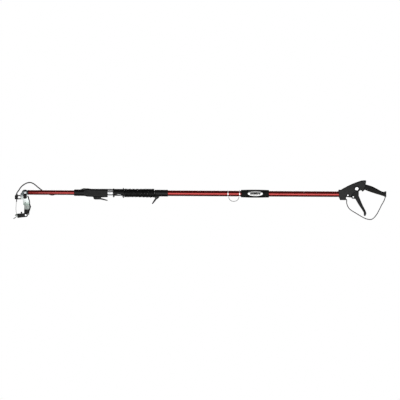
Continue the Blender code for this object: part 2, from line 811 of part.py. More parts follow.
def make_top(mover):
    solid("top_tube", sleeve(TOP_ENDS, TOP_R - WALL, TOP_R), RED, mover)
    end_bush("top_tube_bush", TOP_ENDS[1], TOP_R, mover)
    cable_y = TOP_R + SHEATH_R + 2 * GAP
    saddle("top_cable_saddle", -1.180, TOP_R, cable_y, -0.0010, mover)
    route = (
        (-1.1099, 0.0242, 0.0010),
        (-1.1170, 0.0242, 0.0010),
        (-1.1380, 0.0212, 0.0000),
        (-1.1560, cable_y, -0.0010),
        (-1.1680, cable_y, -0.0010),
        (-1.1920, cable_y, -0.0010),
        (-1.2010, cable_y, -0.0018),
        (-1.2220, 0.0172, -0.0085),
        (-1.2460, 0.0125, -0.0152),
        (-1.2720, 0.0172, -0.0080),
        (-1.2920, 0.0185, 0.0015),
        (-1.3100, 0.0160, 0.0140),
        (-1.3336, 0.0125, 0.0320),
        (-1.3510, 0.0105, 0.0470),
        (-1.3690, 0.0085, 0.0575),
        (-1.3846, 0.0070, 0.0605),
        (-1.4030, 0.0050, 0.0565),
        (-1.4220, 0.0030, 0.0455),
        (-1.4370, 0.0015, 0.0320),
        (-1.4475, 0.0005, 0.0160),
        (-1.4560, 0, 0.0045),
        (-1.4606, 0, -0.0030),
        (FERRULE_X, 0, -0.0085),
        (FERRULE_X, 0, -0.0120),
        (FERRULE_X, 0, -0.0155),
    )
    tube("head_cable", route, SHEATH_R, SOFT_BLACK, mover, per_span=2)
    make_end_plug(mover)


def make_end_plug(mover):
    """The black plug in the top tube's end, whose round ear the head tilts on."""
    ear = [
        *arc(TILT_PIVOT, 0.0200, 180, 48, 10),
        (-1.3930, 0.0120),
        (-1.3930, -0.0120),
        *arc(TILT_PIVOT, 0.0150, -45, -180, 9),
    ]
    plug = solid("pole_end_plug", prism(ear, -EAR_HALF, EAR_HALF), BLACK, mover)
    face = TOP_ENDS[0] - GAP
    profile = [
        (face - 0.0055, 0),
        (face - 0.0055, 0.0135),
        (face - 0.0040, 0.0150),
        (face, 0.0150),
        (face, TOP_R - WALL - GAP),
        (face + 0.0220, TOP_R - WALL - GAP),
        (face + 0.0220, 0),
    ]
    join(plug, helper("join_plug_spigot", turned(profile)))
    cut(plug, helper("cut_tilt_hole", cross_hole(TILT_PIVOT, 0.0043)))
    out = -PLATE_OUT - GAP
    cross_bolt("tilt_bolt", TILT_PIVOT, STEEL, (0.0060, 0.0028), 0.0040, out, 0.0160, mover)
    nut = prism(arc(TILT_PIVOT, 0.0072, 0, 300, 5), PLATE_OUT + GAP, PLATE_OUT + 0.0050)
    hole = helper("cut_tilt_nut", cross_hole(TILT_PIVOT, 0.0043))
    cut(solid("tilt_nut", nut, ZINC, mover), hole)


# ---------------------------------------------------------------- head


def strap_x(z):
    """X of the strap's middle line at a height."""
    for (x0, z0), (x1, z1) in zip(STRAP_LINE, STRAP_LINE[1:]):
        if z0 >= z >= z1:
            return x0 + (x1 - x0) * (z - z0) / (z1 - z0)
    return STRAP_LINE[-1][0]


def beside_strap(z):
    """A point at this height that just clears the strap's inner face."""
    return (strap_x(z) - STRAP_THICK / 2 - 0.0008, z)


def ribbon(line, width):
    """The outline of a band of constant width along a line in the X-Z plane."""
    points = [Vector((p.x, p.z)) for p in smooth_route([(x, 0, z) for x, z in line], 2)]
    left, right = [], []
    for i, here in enumerate(points):
        ahead = points[min(i + 1, len(points) - 1)] - points[max(i - 1, 0)]
        normal = Vector((-ahead.y, ahead.x)).normalized() * width / 2
        left.append(tuple(here + normal))
        right.append(tuple(here - normal))
    return left + right[::-1]


def head_plate(name, low, high, mover):
    outline = [
        *arc(TILT_PIVOT, 0.0130, 150, -30, 10),
        (-1.3990, -0.0180),
        beside_strap(-0.0490),
        beside_strap(-0.0690),
        beside_strap(-0.0780),
        (-1.4200, -0.0780),
        (-1.4240, -0.0450),
        (-1.4380, -0.0410),
        (-1.4390, -0.0160),
        (-1.4370, -0.0040),
    ]
    plate = solid(name, prism(outline, low, high), ZINC, mover)
    tilt_hole = helper(f"cut_{name}_tilt", cross_hole(TILT_PIVOT, 0.0043))
    stud_hole = helper(f"cut_{name}_stud", cross_hole(KNOB, 0.0033))
    cut(plate, tilt_hole, stud_hole)


def make_head_frame(mover):
    head_plate("head_plate_front", -PLATE_OUT, -PLATE_IN, mover)
    head_plate("head_plate_rear", PLATE_IN, PLATE_OUT, mover)
    strap = prism(ribbon(STRAP_LINE, STRAP_THICK), -HEAD_HALF, HEAD_HALF)
    screw_z = -0.0880
    screw_x = strap_x(screw_z) + STRAP_THICK / 2
    way = rod((screw_x - 0.03, 0, screw_z), (screw_x + 0.02, 0, screw_z), 0.0023, 16)
    screw_way = helper("cut_jaw_screw_way", way)
    cut(solid("strap_leg", strap, BLACK, mover), screw_way)
    jaw = [
        (-1.4160, -0.0620),
        beside_strap(-0.0620),
        beside_strap(-0.0690),
        beside_strap(-0.0885),
        beside_strap(-0.1040),
        (-1.4160, -0.1040),
    ]
    clamp = solid("clamp_jaw", prism(jaw, -EAR_HALF, EAR_HALF), ZINC, mover)
    cut(soften(clamp, 0.0010, 1), screw_way)
    profile = [
        (0, 0),
        (0, 0.0019),
        (0.0185, 0.0019),
        (0.0185, 0.0042),
        (0.0205, 0.0042),
        (0.0213, 0.0030),
        (0.0213, 0),
    ]
    seat = (screw_x - 0.0180, 0, screw_z)
    solid("jaw_screw", turned(profile, seat, sides=16), STEEL, mover)
    block = [
        (-1.4160, -0.1044),
        beside_strap(-0.1044),
        beside_strap(-0.1080),
        beside_strap(-0.1220),
        beside_strap(-0.1300),
        *arc(ARM_PIVOT, 0.0100, 25, -205, 12),
        (-1.4160, -0.1300),
    ]
    pivot_block = solid("pivot_block", prism(block, -EAR_HALF, EAR_HALF), SOFT_BLACK, mover)
    cut(pivot_block, helper("cut_block_pivot", cross_hole(ARM_PIVOT, 0.0033)))
    out = -HEAD_HALF - GAP
    cross_bolt("arm_pivot_bolt", ARM_PIVOT, STEEL, (0.0058, 0.0024), 0.0030, out, 0.0125, mover)


def make_cable_stop(mover):
    outer = ((-1.4740, -0.0165), (-1.4315, -0.0165), (-1.4315, -0.0430), (-1.4740, -0.0430))
    stop = solid("cable_stop", prism(rounded(outer, 0.006), -EAR_HALF, EAR_HALF), BLACK, mover)
    eye = ((-1.4545, -0.0235), (-1.4395, -0.0235), (-1.4395, -0.0365), (-1.4545, -0.0365))
    window = helper("cut_stop_eye", prism(rounded(eye, 0.004), -0.02, 0.02))
    way = rod((FERRULE_X, 0, -0.060), (FERRULE_X, 0, 0.0), 0.0045)
    cut(stop, window, helper("cut_stop_way", way))
    profile = [
        (-0.0470, 0.0042),
        (-0.0162, 0.0042),
        (-0.0162, 0.0062),
        (-0.0090, 0.0056),
        (-0.0090, 0.0043),
        (-0.0160, 0.0043),
        (-0.0160, 0.0017),
        (-0.0470, 0.0017),
    ]
    ferrule = turned(profile, (FERRULE_X, 0, 0), (0, 0, 1), 16)
    solid("sheath_ferrule", ferrule, DARK_STEEL, mover)
    wire = (
        (FERRULE_X, 0, -0.0165),
        (FERRULE_X, 0, -0.0300),
        (-1.4626, 0, -0.0440),
        (-1.4640, 0, -0.0590),
        (-1.4662, 0, -0.0800),
        (-1.4668, 0, -0.1020),
        (-1.4650, 0, -0.1200),
        (-1.4625, 0, -0.1322),
    )
    tube("head_inner_wire", wire, WIRE_R, STEEL, mover, resolution=1, per_span=3)


def make_knob(mover):
    grip = rounded(
        (
            (KNOB.x - 0.0105, KNOB.z - 0.0150),
            (KNOB.x + 0.0105, KNOB.z - 0.0150),
            (KNOB.x + 0.0105, KNOB.z + 0.0150),
            (KNOB.x - 0.0105, KNOB.z + 0.0150),
        ),
        0.009,
    )
    knob = soften(solid("clamp_knob", prism(grip, -0.0260, -0.0136), BLACK, mover), 0.0020)
    profile = [
        (-0.0200, 0),
        (-0.0200, 0.0065),
        (-PLATE_OUT - GAP, 0.0065),
        (-PLATE_OUT - GAP, 0.0030),
        (0.0130, 0.0030),
        (0.0130, 0),
    ]
    stud = turned(profile, (KNOB.x, 0, KNOB.z), (0, 1, 0), 16)
    join(knob, helper("join_knob_stud", stud))


def make_arm(mover):
    """The forked arm that the wire pulls up, with its peg, wire clamp, clamp screw and wire tail."""
    outline = [
        *arc(ARM_PIVOT, 0.0125, 75, -100, 12),
        (-1.4565, -0.1575),
        (-1.4565, -0.1310),
        (-1.4120, -0.1275),
    ]
    arm = solid("puller_arm", prism(outline, -HEAD_HALF, HEAD_HALF), BLACK, mover)
    fork = helper("cut_arm_fork", box((-1.4230, -0.0068, -0.170), (-1.380, 0.0068, -0.100)))
    peg_x = -1.4330
    seat = helper("cut_peg_seat", rod((peg_x, 0, -0.1380), (peg_x, 0, -0.1200), 0.0028))
    pivot_hole = helper("cut_arm_pivot", cross_hole(ARM_PIVOT, 0.0033))
    cut(soften(arm, 0.0010, 1), fork, pivot_hole, seat)
    profile = [
        (-0.1375, 0),
        (-0.1375, 0.0025),
        (-0.1280, 0.0025),
        (-0.1280, 0.0046),
        (-0.1215, 0.0046),
        (-0.1190, 0.0028),
        (-0.1190, 0),
    ]
    solid("push_peg", turned(profile, (peg_x, 0, 0), (0, 0, 1), 16), SOFT_BLACK, mover)
    block = box((-1.4675, -0.0050, -0.1500), (-1.4568, 0.0050, -0.1325))
    clamp = solid("wire_clamp", block, ZINC, mover)
    screw_hole = rod((-1.4750, 0, -0.1400), (-1.4600, 0, -0.1400), 0.0018, 12)
    cut(soften(clamp, 0.0006, 1), helper("cut_clamp_screw", screw_hole))
    screw = [
        (-1.4715, 0),
        (-1.4715, 0.0034),
        (-1.4678, 0.0034),
        (-1.4678, 0.0015),
        (-1.4610, 0.0015),
        (-1.4610, 0),
    ]
    at_clamp = (0, 0, -0.1400)
    solid("wire_clamp_screw", turned(screw, at_clamp, sides=12), DARK_STEEL, mover)
    tail = rod((-1.4650, 0, -0.1524), (-1.4815, 0, -0.1620), 0.0022, 12)
    solid("wire_tail", tail, STEEL, mover)


# ---------------------------------------------------------------- assembly


def build():
    for old in list(bpy.data.objects):
        bpy.data.objects.remove(old, do_unlink=True)
    squeeze = joint("joint_squeeze", LEVER_PIVOT)
    middle = joint("joint_lower_extension", Vector((MIDDLE_ENDS[1], 0, 0)))
    top = joint("joint_upper_extension", Vector((TOP_ENDS[1], 0, 0)), middle)
    head = joint("joint_head_tilt", TILT_PIVOT, top)
    arm = joint("joint_puller_arm", ARM_PIVOT, head)
    knob = joint("joint_clamp_knob", KNOB, head)
    lower_lever = joint("joint_lower_lock", LOWER_PIN)
    upper_lever = joint("joint_upper_lock", UPPER_PIN, middle)
    clip_bail = joint("joint_hose_clip", Vector((CLIP_AT[0], 0, CLIP_EYE_Z)))
    stop_bail = joint("joint_coil_stop", Vector((STOP_AT[0], 0, STOP_EYE_Z)), middle)

    make_housing()
    make_fasteners()
    make_rear_grip()
    make_end_cap()
    make_guard()
    make_lever(squeeze)
    make_return_spring()
    make_handle_cable()
    make_outer_tube()
    make_foam_grip()
    make_badge()
    make_hose_clip(clip_bail)
    make_lower_lock(lower_lever)
    make_middle(middle, stop_bail)
    make_upper_lock(middle, upper_lever)
    make_coil()
    make_top(top)
    make_head_frame(head)
    make_cable_stop(head)
    make_knob(knob)
    make_arm(arm)


build()
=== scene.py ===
"""The looks of a telescoping pole with a squeeze handle and a cable-worked clamp head.

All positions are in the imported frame, in metres: the pole lies along X, +Z is up and -Y is the
front.
"""

import math

import bmesh
import bpy
from mathutils import Matrix, Vector


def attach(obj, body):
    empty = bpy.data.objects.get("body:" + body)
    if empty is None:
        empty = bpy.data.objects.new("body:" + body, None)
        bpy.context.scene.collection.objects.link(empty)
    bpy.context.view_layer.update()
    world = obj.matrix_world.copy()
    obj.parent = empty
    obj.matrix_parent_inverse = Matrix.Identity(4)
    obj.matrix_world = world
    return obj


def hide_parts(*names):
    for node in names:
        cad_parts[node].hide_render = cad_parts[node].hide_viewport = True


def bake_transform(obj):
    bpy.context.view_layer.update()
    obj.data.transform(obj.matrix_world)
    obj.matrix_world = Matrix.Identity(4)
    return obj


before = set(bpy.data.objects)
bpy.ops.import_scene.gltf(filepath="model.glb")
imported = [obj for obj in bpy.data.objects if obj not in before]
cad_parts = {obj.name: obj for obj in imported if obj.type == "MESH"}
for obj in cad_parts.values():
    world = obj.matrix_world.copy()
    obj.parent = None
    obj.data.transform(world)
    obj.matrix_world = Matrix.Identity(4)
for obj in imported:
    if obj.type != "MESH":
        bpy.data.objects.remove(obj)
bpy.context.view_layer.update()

# ---------------------------------------------------------------- dimensions shared with the CAD

GAP = 0.0003
WALL = 0.0012
OUTER_R = 0.0175
MIDDLE_R = 0.0160
TOP_R = 0.0145
OUTER_ENDS = (-0.578, 0.560)
MIDDLE_ENDS = (-0.942, 0.280)
TOP_ENDS = (-1.390, -0.150)
SHEATH_R = 0.0035
WIRE_R = 0.0012
CABLE_BACK = OUTER_R + SHEATH_R + 2 * GAP
CABLE_OVER = 0.0208
COIL_ENDS = (-0.8035, -0.6163)
HOUSING_HALF = 0.021
CAVITY_HALF = 0.0175
LEVER_PIVOT = Vector((0.6238, 0, 0.0346))
LEVER_HALF = 0.010
ANCHOR = Vector((0.6030, 0, -0.0164))
FRONT_SCREW = Vector((0.5692, 0, -0.0062))
REAR_SCREW = Vector((0.5870, 0, -0.0054))
ADJUSTER_AXIS = (0.0235, -0.006)
LOWER_PIN = Vector((-0.603, 0, -0.0275))
UPPER_PIN = Vector((-0.968, 0, -0.0310))
CHEEK_IN = 0.0075
CHEEK_OUT = 0.0115
CLIP_AT = (-0.1658, -0.0939)
CLIP_EYE_Z = -0.0220
STOP_AT = (-0.8680, -0.8070)
STOP_EYE_Z = -0.0245
STOP_SLEEVE_R = 0.0179
STOP_BAIL_TURN = -126
BAIL_R = 0.0015
TILT_PIVOT = Vector((-1.4116, 0, -0.0030))
KNOB = Vector((-1.4100, 0, -0.0237))
ARM_PIVOT = Vector((-1.4060, 0, -0.1390))
EAR_HALF = 0.0065
PLATE_IN = 0.0070
PLATE_OUT = 0.0100
HEAD_HALF = 0.0105
FERRULE_X = -1.4625

# ---------------------------------------------------------------- materials


class Shader:
    """A Principled material whose patterns are built from noise in the object's own coordinates."""

    def __init__(self, name, colour, roughness, metallic=0.0, slot=None):
        self.slot = slot
        self.made = bpy.data.materials.new(name)
        self.made.use_nodes = True
        self.nodes = self.made.node_tree.nodes
        self.links = self.made.node_tree.links
        self.main = self.nodes["Principled BSDF"]
        self.set("Base Color", (*colour, 1.0))
        self.set("Roughness", roughness)
        self.set("Metallic", metallic)
        self.colour = colour
        self.coords = self.nodes.new("ShaderNodeTexCoord").outputs["Object"]

    def set(self, socket, value):
        self.main.inputs[socket].default_value = value

    def stretched(self, scale):
        node = self.nodes.new("ShaderNodeMapping")
        node.inputs["Scale"].default_value = scale
        self.links.new(self.coords, node.inputs["Vector"])
        return node.outputs["Vector"]

    def noise(self, scale, detail=3.0, stretch=(1, 1, 1), rough=0.55):
        node = self.nodes.new("ShaderNodeTexNoise")
        node.inputs["Scale"].default_value = scale
        node.inputs["Detail"].default_value = detail
        node.inputs["Roughness"].default_value = rough
        self.links.new(self.stretched(stretch), node.inputs["Vector"])
        return node.outputs["Fac"]

    def cells(self, scale):
        node = self.nodes.new("ShaderNodeTexVoronoi")
        node.inputs["Scale"].default_value = scale
        self.links.new(self.coords, node.inputs["Vector"])
        return node.outputs["Distance"]

    def ramp(self, value, low, high, start=0.0, end=1.0):
        node = self.nodes.new("ShaderNodeMapRange")
        node.clamp = True
        node.inputs["From Min"].default_value = low
        node.inputs["From Max"].default_value = high
        node.inputs["To Min"].default_value = start
        node.inputs["To Max"].default_value = end
        self.links.new(value, node.inputs["Value"])
        return node.outputs["Result"]

    def height(self, start, end):
        """Rises from 0 to 1 between two heights on the piece."""
        node = self.nodes.new("ShaderNodeSeparateXYZ")
        self.links.new(self.coords, node.inputs["Vector"])
        return self.ramp(node.outputs["Z"], start, end)

    def tint(self, value, other, low=0.3, high=0.7):
        """Mixes the colour so far with another one where the pattern is high."""
        node = self.nodes.new("ShaderNodeMix")
        node.data_type = "RGBA"
        source = self.main.inputs["Base Color"]
        if source.is_linked:
            self.links.new(source.links[0].from_socket, node.inputs[6])
        else:
            node.inputs[6].default_value = (*self.colour, 1.0)
        node.inputs[7].default_value = (*other, 1.0)
        self.links.new(self.ramp(value, low, high), node.inputs[0])
        self.links.new(node.outputs[2], source)
        return self

    def mottle(self, scale, detail, other, low, high):
        return self.tint(self.noise(scale, detail), other, low, high)

    def gloss(self, value, start, end, low=0.3, high=0.7):
        """Drives the roughness from a pattern."""
        self.links.new(self.ramp(value, low, high, start, end), self.main.inputs["Roughness"])
        return self

    def sheen(self, scale, detail, start, end):
        return self.gloss(self.noise(scale, detail), start, end)

    def grain(self, scale, detail, depth, strength=1.0):
        return self.bump(self.noise(scale, detail), depth, strength)

    def bump(self, value, depth, strength=1.0):
        node = self.nodes.new("ShaderNodeBump")
        node.inputs["Distance"].default_value = depth
        node.inputs["Strength"].default_value = strength
        self.links.new(value, node.inputs["Height"])
        before = self.main.inputs["Normal"]
        if before.is_linked:
            self.links.new(before.links[0].from_socket, node.inputs["Normal"])
        self.links.new(node.outputs["Normal"], before)
        return self


def make_looks():
    looks = {}

    red = Shader("red_anodised_tube", (0.29, 0.017, 0.014), 0.22, 0.85, "red_tube")
    red.set("Coat Weight", 0.55)
    red.set("Coat Roughness", 0.10)
    red.tint(red.noise(60, 3, (0.02, 1, 1)), (0.33, 0.022, 0.018), 0.4, 0.7)
    red.mottle(9, 3, (0.25, 0.013, 0.011), 0.5, 0.9)
    red.gloss(red.noise(45, 4, (0.05, 1, 1)), 0.18, 0.26)
    looks["red"] = red.bump(red.noise(500, 3, (0.01, 1, 1)), 0.000004)

    bare = Shader("bare_drawn_aluminium", (0.93, 0.93, 0.94), 0.44, 0.8, "bare_tube")
    drawn = bare.noise(400, 4, (0.008, 1, 1))
    bare.mottle(25, 4, (0.80, 0.81, 0.83), 0.4, 0.8)
    bare.gloss(drawn, 0.40, 0.50)
    rings = bare.noise(220, 2, (1, 0.02, 0.02))
    looks["bare"] = bare.bump(drawn, 0.000006).bump(rings, 0.000004)

    plastic = Shader("black_moulded_plastic", (0.0075, 0.0075, 0.0078), 0.42, 0, "black_plastic")
    plastic.set("Specular IOR Level", 0.20)
    plastic.mottle(22, 4, (0.012, 0.012, 0.012), 0.4, 0.8)
    plastic.sheen(70, 4, 0.36, 0.50)
    looks["plastic"] = plastic.grain(1500, 2, 0.00003, 0.6)

    housing = Shader("grained_housing_plastic", (0.0085, 0.0085, 0.0082), 0.42, 0, "black_plastic")
    housing.set("Specular IOR Level", 0.26)
    housing.mottle(16, 5, (0.014, 0.0145, 0.0135), 0.35, 0.8)
    housing.sheen(55, 5, 0.36, 0.50)
    housing.bump(housing.cells(900), 0.00004, 0.7)
    looks["housing"] = housing.grain(2200, 2, 0.00002, 0.6)

    rubber = Shader("soft_grip_rubber", (0.0075, 0.0075, 0.0075), 0.55, 0, "grip_rubber")
    rubber.set("Specular IOR Level", 0.22)
    rubber.mottle(30, 5, (0.013, 0.0125, 0.012), 0.45, 0.8)
    rubber.sheen(90, 4, 0.48, 0.66)
    looks["rubber"] = rubber.grain(1300, 3, 0.00005, 0.7)

    foam = Shader("closed_cell_foam", (0.0085, 0.0090, 0.0082), 0.85, 0, "foam")
    foam.set("Specular IOR Level", 0.15)
    pores = foam.cells(700)
    foam.tint(pores, (0.018, 0.019, 0.017), 0.25, 0.9)
    foam.mottle(25, 4, (0.006, 0.006, 0.006), 0.4, 0.8)
    looks["foam"] = foam.bump(pores, 0.0003, 0.8).bump(foam.noise(260, 4), 0.0002, 0.4)

    sheath = Shader("cable_sheath_plastic", (0.006, 0.006, 0.006), 0.34, 0, "cable_sheath")
    sheath.set("Specular IOR Level", 0.20)
    sheath.mottle(45, 4, (0.011, 0.011, 0.011), 0.4, 0.8)
    sheath.sheen(120, 3, 0.28, 0.46)
    looks["sheath"] = sheath.grain(700, 3, 0.00004, 0.6)

    wire = Shader("stranded_wire", (0.022, 0.022, 0.023), 0.50, 0.5, "wire")
    wire.set("Specular IOR Level", 0.2)
    wire.mottle(300, 3, (0.045, 0.045, 0.046), 0.4, 0.7)
    looks["wire"] = wire.sheen(500, 3, 0.32, 0.55)

    bright = Shader("bright_plated_steel", (0.86, 0.87, 0.88), 0.30, 1.0, "bright_steel")
    bright.mottle(120, 4, (0.78, 0.79, 0.81), 0.4, 0.8)
    looks["bright"] = bright.sheen(240, 4, 0.24, 0.38)

    dark = Shader("blackened_steel", (0.055, 0.055, 0.060), 0.42, 0.85, "dark_steel")
    dark.mottle(90, 4, (0.11, 0.11, 0.115), 0.45, 0.8)
    looks["dark"] = dark.sheen(200, 4, 0.32, 0.55)

    guard = Shader("grey_guard_steel", (0.070, 0.070, 0.072), 0.38, 0.9, "guard_steel")
    guard.mottle(60, 4, (0.045, 0.045, 0.047), 0.4, 0.8)
    guard.sheen(300, 4, 0.30, 0.5)
    looks["guard"] = guard.grain(900, 2, 0.00002, 0.5)

    bail = Shader("hanging_wire_steel", (0.045, 0.045, 0.048), 0.38, 0.9, "bright_steel")
    bail.mottle(80, 4, (0.025, 0.025, 0.027), 0.4, 0.8)
    looks["bail"] = bail.sheen(240, 4, 0.28, 0.44)

    zinc = Shader("zinc_plated_block", (0.19, 0.21, 0.20), 0.42, 0.85, "zinc_plate")
    zinc.tint(zinc.cells(90), (0.34, 0.37, 0.35), 0.2, 0.7)
    zinc.mottle(35, 4, (0.17, 0.205, 0.19), 0.45, 0.8)
    zinc.sheen(160, 4, 0.36, 0.52)
    looks["zinc"] = zinc.grain(500, 3, 0.00002, 0.5)

    plate = Shader("bright_zinc_plate_painted_shade", (0.78, 0.84, 0.82), 0.40, 0.75, "zinc_plate")
    plate.mottle(35, 4, (0.62, 0.70, 0.67), 0.45, 0.8)
    # Painted shade: the two tints below darken the plate's colour by height, from z -0.030 to full
    # above -0.014, and from z -0.052 to full below -0.074, where light falls off across the flat
    # plate.
    plate.tint(plate.height(-0.030, -0.014), (0.24, 0.28, 0.29), 0.0, 1.0)
    plate.tint(plate.height(-0.052, -0.074), (0.26, 0.33, 0.29), 0.0, 1.0)
    plate.sheen(160, 4, 0.34, 0.50)
    looks["plate"] = plate.grain(500, 3, 0.00002, 0.5)

    bronze = Shader("sintered_bronze", (0.52, 0.33, 0.12), 0.42, 1.0, "bush_metal")
    bronze.mottle(400, 3, (0.33, 0.20, 0.08), 0.45, 0.7)
    looks["bronze"] = bronze.bump(bronze.cells(2500), 0.00003, 0.7)

    nylon = Shader("black_nylon", (0.014, 0.014, 0.015), 0.38, 0, "guide_nylon")
    nylon.mottle(60, 3, (0.022, 0.022, 0.023), 0.4, 0.8)
    looks["nylon"] = nylon.sheen(150, 3, 0.32, 0.48)

    white = Shader("badge_white", (0.95, 0.95, 0.94), 0.46, 0.40, "badge")
    white.set("Coat Weight", 0.6)
    white.mottle(50, 4, (0.90, 0.90, 0.89), 0.4, 0.9)
    looks["white"] = white.sheen(200, 3, 0.30, 0.42)

    ink = Shader("badge_ink", (0.006, 0.006, 0.006), 0.45, 0, "badge")
    ink.set("Specular IOR Level", 0.2)
    looks["ink"] = ink.mottle(200, 3, (0.011, 0.011, 0.011), 0.4, 0.8)
    return looks


LOOKS = make_looks()

# ---------------------------------------------------------------- building pieces


def place(name, data, look, body, nodes=()):
    """An object for this data, riding on a body, painted, and standing for these CAD nodes."""
    made = bpy.data.objects.new(name, data)
    bpy.context.scene.collection.objects.link(made)
    shader = LOOKS[look]
    data.materials.append(shader.made)
    if body is not None:
        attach(made, body)
    if nodes:
        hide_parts(*([nodes] if isinstance(nodes, str) else nodes))
    return made


def mesh_of(name, bm, sharp=32):
    bmesh.ops.recalc_face_normals(bm, faces=bm.faces)
    mesh = bpy.data.meshes.new(name)
    bm.to_mesh(mesh)
    bm.free()
    mesh.shade_smooth()
    mesh.set_sharp_from_angle(angle=math.radians(sharp))
    return mesh


def solid(name, bm, look, body, nodes=(), sharp=32):
    return place(name, mesh_of(name, bm, sharp), look, body, nodes)


def tool(bm):
    """A hidden object that only shapes others."""
    mesh = mesh_of("shaping", bm)
    made = bpy.data.objects.new("shaping", mesh)
    bpy.context.scene.collection.objects.link(made)
    made.hide_render = True
    made.hide_viewport = True
    return made


def open_edges(mesh):
    """How many of a mesh's edges don't join exactly two faces."""
    uses = {}
    for face in mesh.polygons:
        for key in face.edge_keys:
            uses[key] = uses.get(key, 0) + 1
    return sum(1 for count in uses.values() if count != 2)


def shaped(made, operation, *meshes):
    """Joins, cuts or intersects at once. A result with open edges is made again with the other body
    moved by a few thousandths of a millimetre."""
    for bm in meshes:
        other = tool(bm)
        for attempt in range(5):
            other.location = (3e-6 * attempt, 2e-6 * attempt, -4e-6 * attempt)
            step = made.modifiers.new("shape", "BOOLEAN")
            step.operation = operation
            step.object = other
            mesh = stepped(made)
            made.modifiers.clear()
            if not open_edges(mesh) or attempt == 4:
                break
            bpy.data.meshes.remove(mesh)
        swap_mesh(made, mesh)
        bpy.data.objects.remove(other)
    return made


def cut(made, *meshes):
    return shaped(made, "DIFFERENCE", *meshes)


def join(made, *meshes):
    return shaped(made, "UNION", *meshes)


def stepped(made):
    """A new mesh with the object's modifiers applied."""
    bpy.context.view_layer.update()
    graph = bpy.context.evaluated_depsgraph_get()
    return bpy.data.meshes.new_from_object(made.evaluated_get(graph), depsgraph=graph)


def swap_mesh(made, mesh):
    """Gives the object this mesh, with its edges marked sharp again by their angle."""
    old = made.data
    made.data = mesh
    mesh.shade_smooth()
    mesh.set_sharp_from_angle(angle=math.radians(32))
    bpy.data.meshes.remove(old)


def soften(made, width, segments=3, angle=32):
    step = made.modifiers.new("soften", "BEVEL")
    step.width = width
    step.segments = segments
    step.limit_method = "ANGLE"
    step.angle_limit = math.radians(angle)
    mesh = stepped(made)
    made.modifiers.clear()
    swap_mesh(made, mesh)
    return made


def arc(centre, radius, start, end, steps=16):
    """Points on an arc in the X-Z plane, from one angle to another."""
    return [
        (
            centre[0] + radius * math.cos(math.radians(start + (end - start) * i / steps)),
            centre[-1] + radius * math.sin(math.radians(start + (end - start) * i / steps)),
        )
        for i in range(steps + 1)
    ]


def corner_curve(before, here, after, radius, steps):
    """Points on the curve that takes the place of a corner."""
    start = here + (before - here).normalized() * min(radius, (before - here).length / 2.2)
    end = here + (after - here).normalized() * min(radius, (after - here).length / 2.2)
    shares = [k / steps for k in range(steps + 1)]
    return [tuple(start * (1 - t) ** 2 + here * 2 * t * (1 - t) + end * t**2) for t in shares]


def rounded(corners, radius, steps=6):
    """The outline with each corner replaced by a curve."""
    points = [Vector(corner) for corner in corners]
    outline = []
    for i, here in enumerate(points):
        after = points[(i + 1) % len(points)]
        outline += corner_curve(points[i - 1], here, after, radius, steps)
    return outline


def prism(outline, low, high, along="Y"):
    """A bmesh of an outline pushed from low to high along Y (points X, Z) or X (points Y, Z)."""
    bm = bmesh.new()

    def loop(depth):
        return [bm.verts.new((a, depth, b) if along == "Y" else (depth, a, b)) for a, b in outline]

    first, last = loop(low), loop(high)
    bm.faces.new(first)
    bm.faces.new(last)
    for i in range(len(outline)):
        bm.faces.new((first[i - 1], first[i], last[i], last[i - 1]))
    bmesh.ops.recalc_face_normals(bm, faces=bm.faces)
    return bm


def oblong(x0, z0, x1, z1):
    return [(x0, z0), (x1, z0), (x1, z1), (x0, z1)]


def box(low, high):
    return prism(oblong(low[0], low[2], high[0], high[2]), low[1], high[1])


def on_side(side, *reaches):
    """Distances from the middle plane, as Y on the side given by -1 or 1, low one first."""
    return sorted(side * reach for reach in reaches)


def skin(bm, rings):
    """Faces between closed rings of vertices, and one on the first ring and on the last."""
    for low, high in zip(rings, rings[1:]):
        for i in range(len(low)):
            bm.faces.new((low[i - 1], low[i], high[i], high[i - 1]))
    bm.faces.new(rings[0])
    bm.faces.new(rings[-1])
    return bm


def turned(profile, centre=(0, 0, 0), axis=(1, 0, 0), sides=64):
    """A bmesh of a profile of (distance along the axis, radius), turned round the axis."""
    bm = bmesh.new()
    ring = [bm.verts.new((radius, 0, along)) for along, radius in profile]
    after = ring[1:] + ring[:1] if profile[0][1] > 0 else ring[1:]
    edges = [bm.edges.new(pair) for pair in zip(ring, after)]
    bmesh.ops.spin(
        bm, geom=ring + edges, axis=(0, 0, 1), angle=2 * math.pi, steps=sides, use_merge=True
    )
    bmesh.ops.remove_doubles(bm, verts=bm.verts, dist=1e-6)
    turn = Vector((0, 0, 1)).rotation_difference(Vector(axis)).to_matrix().to_4x4()
    bmesh.ops.transform(bm, matrix=Matrix.Translation(centre) @ turn, verts=bm.verts)
    bmesh.ops.recalc_face_normals(bm, faces=bm.faces)
    return bm


def rod(start, end, radius, sides=48):
    start = Vector(start)
    axis = Vector(end) - start
    profile = [(0, 0), (0, radius), (axis.length, radius), (axis.length, 0)]
    return turned(profile, start, axis.normalized(), sides)


def cross_hole(at, radius, sides=48):
    return rod((at.x, -0.04, at.z), (at.x, 0.04, at.z), radius, sides)


def softened_profile(profile, radius=0.0006, steps=3):
    """A turned profile with its corners rounded, apart from points on the axis."""
    points = [Vector(point) for point in profile]
    out = []
    for i, here in enumerate(points):
        at_end = i in (0, len(points) - 1) and profile[0][1] == 0
        if profile[i][1] == 0 or at_end:
            out.append(profile[i])
            continue
        after = points[(i + 1) % len(points)]
        out += corner_curve(points[i - 1], here, after, radius, steps)
    return out


def lathe(
    name, profile, look, body, nodes=(), centre=(0, 0, 0), axis=(1, 0, 0), sides=64, edge=0.0006
):
    smooth = softened_profile(profile, edge) if edge else profile
    return solid(name, turned(smooth, centre, axis, sides), look, body, nodes)


def sleeve_profile(ends, inner, outer):
    return [(ends[0], outer), (ends[1], outer), (ends[1], inner), (ends[0], inner)]


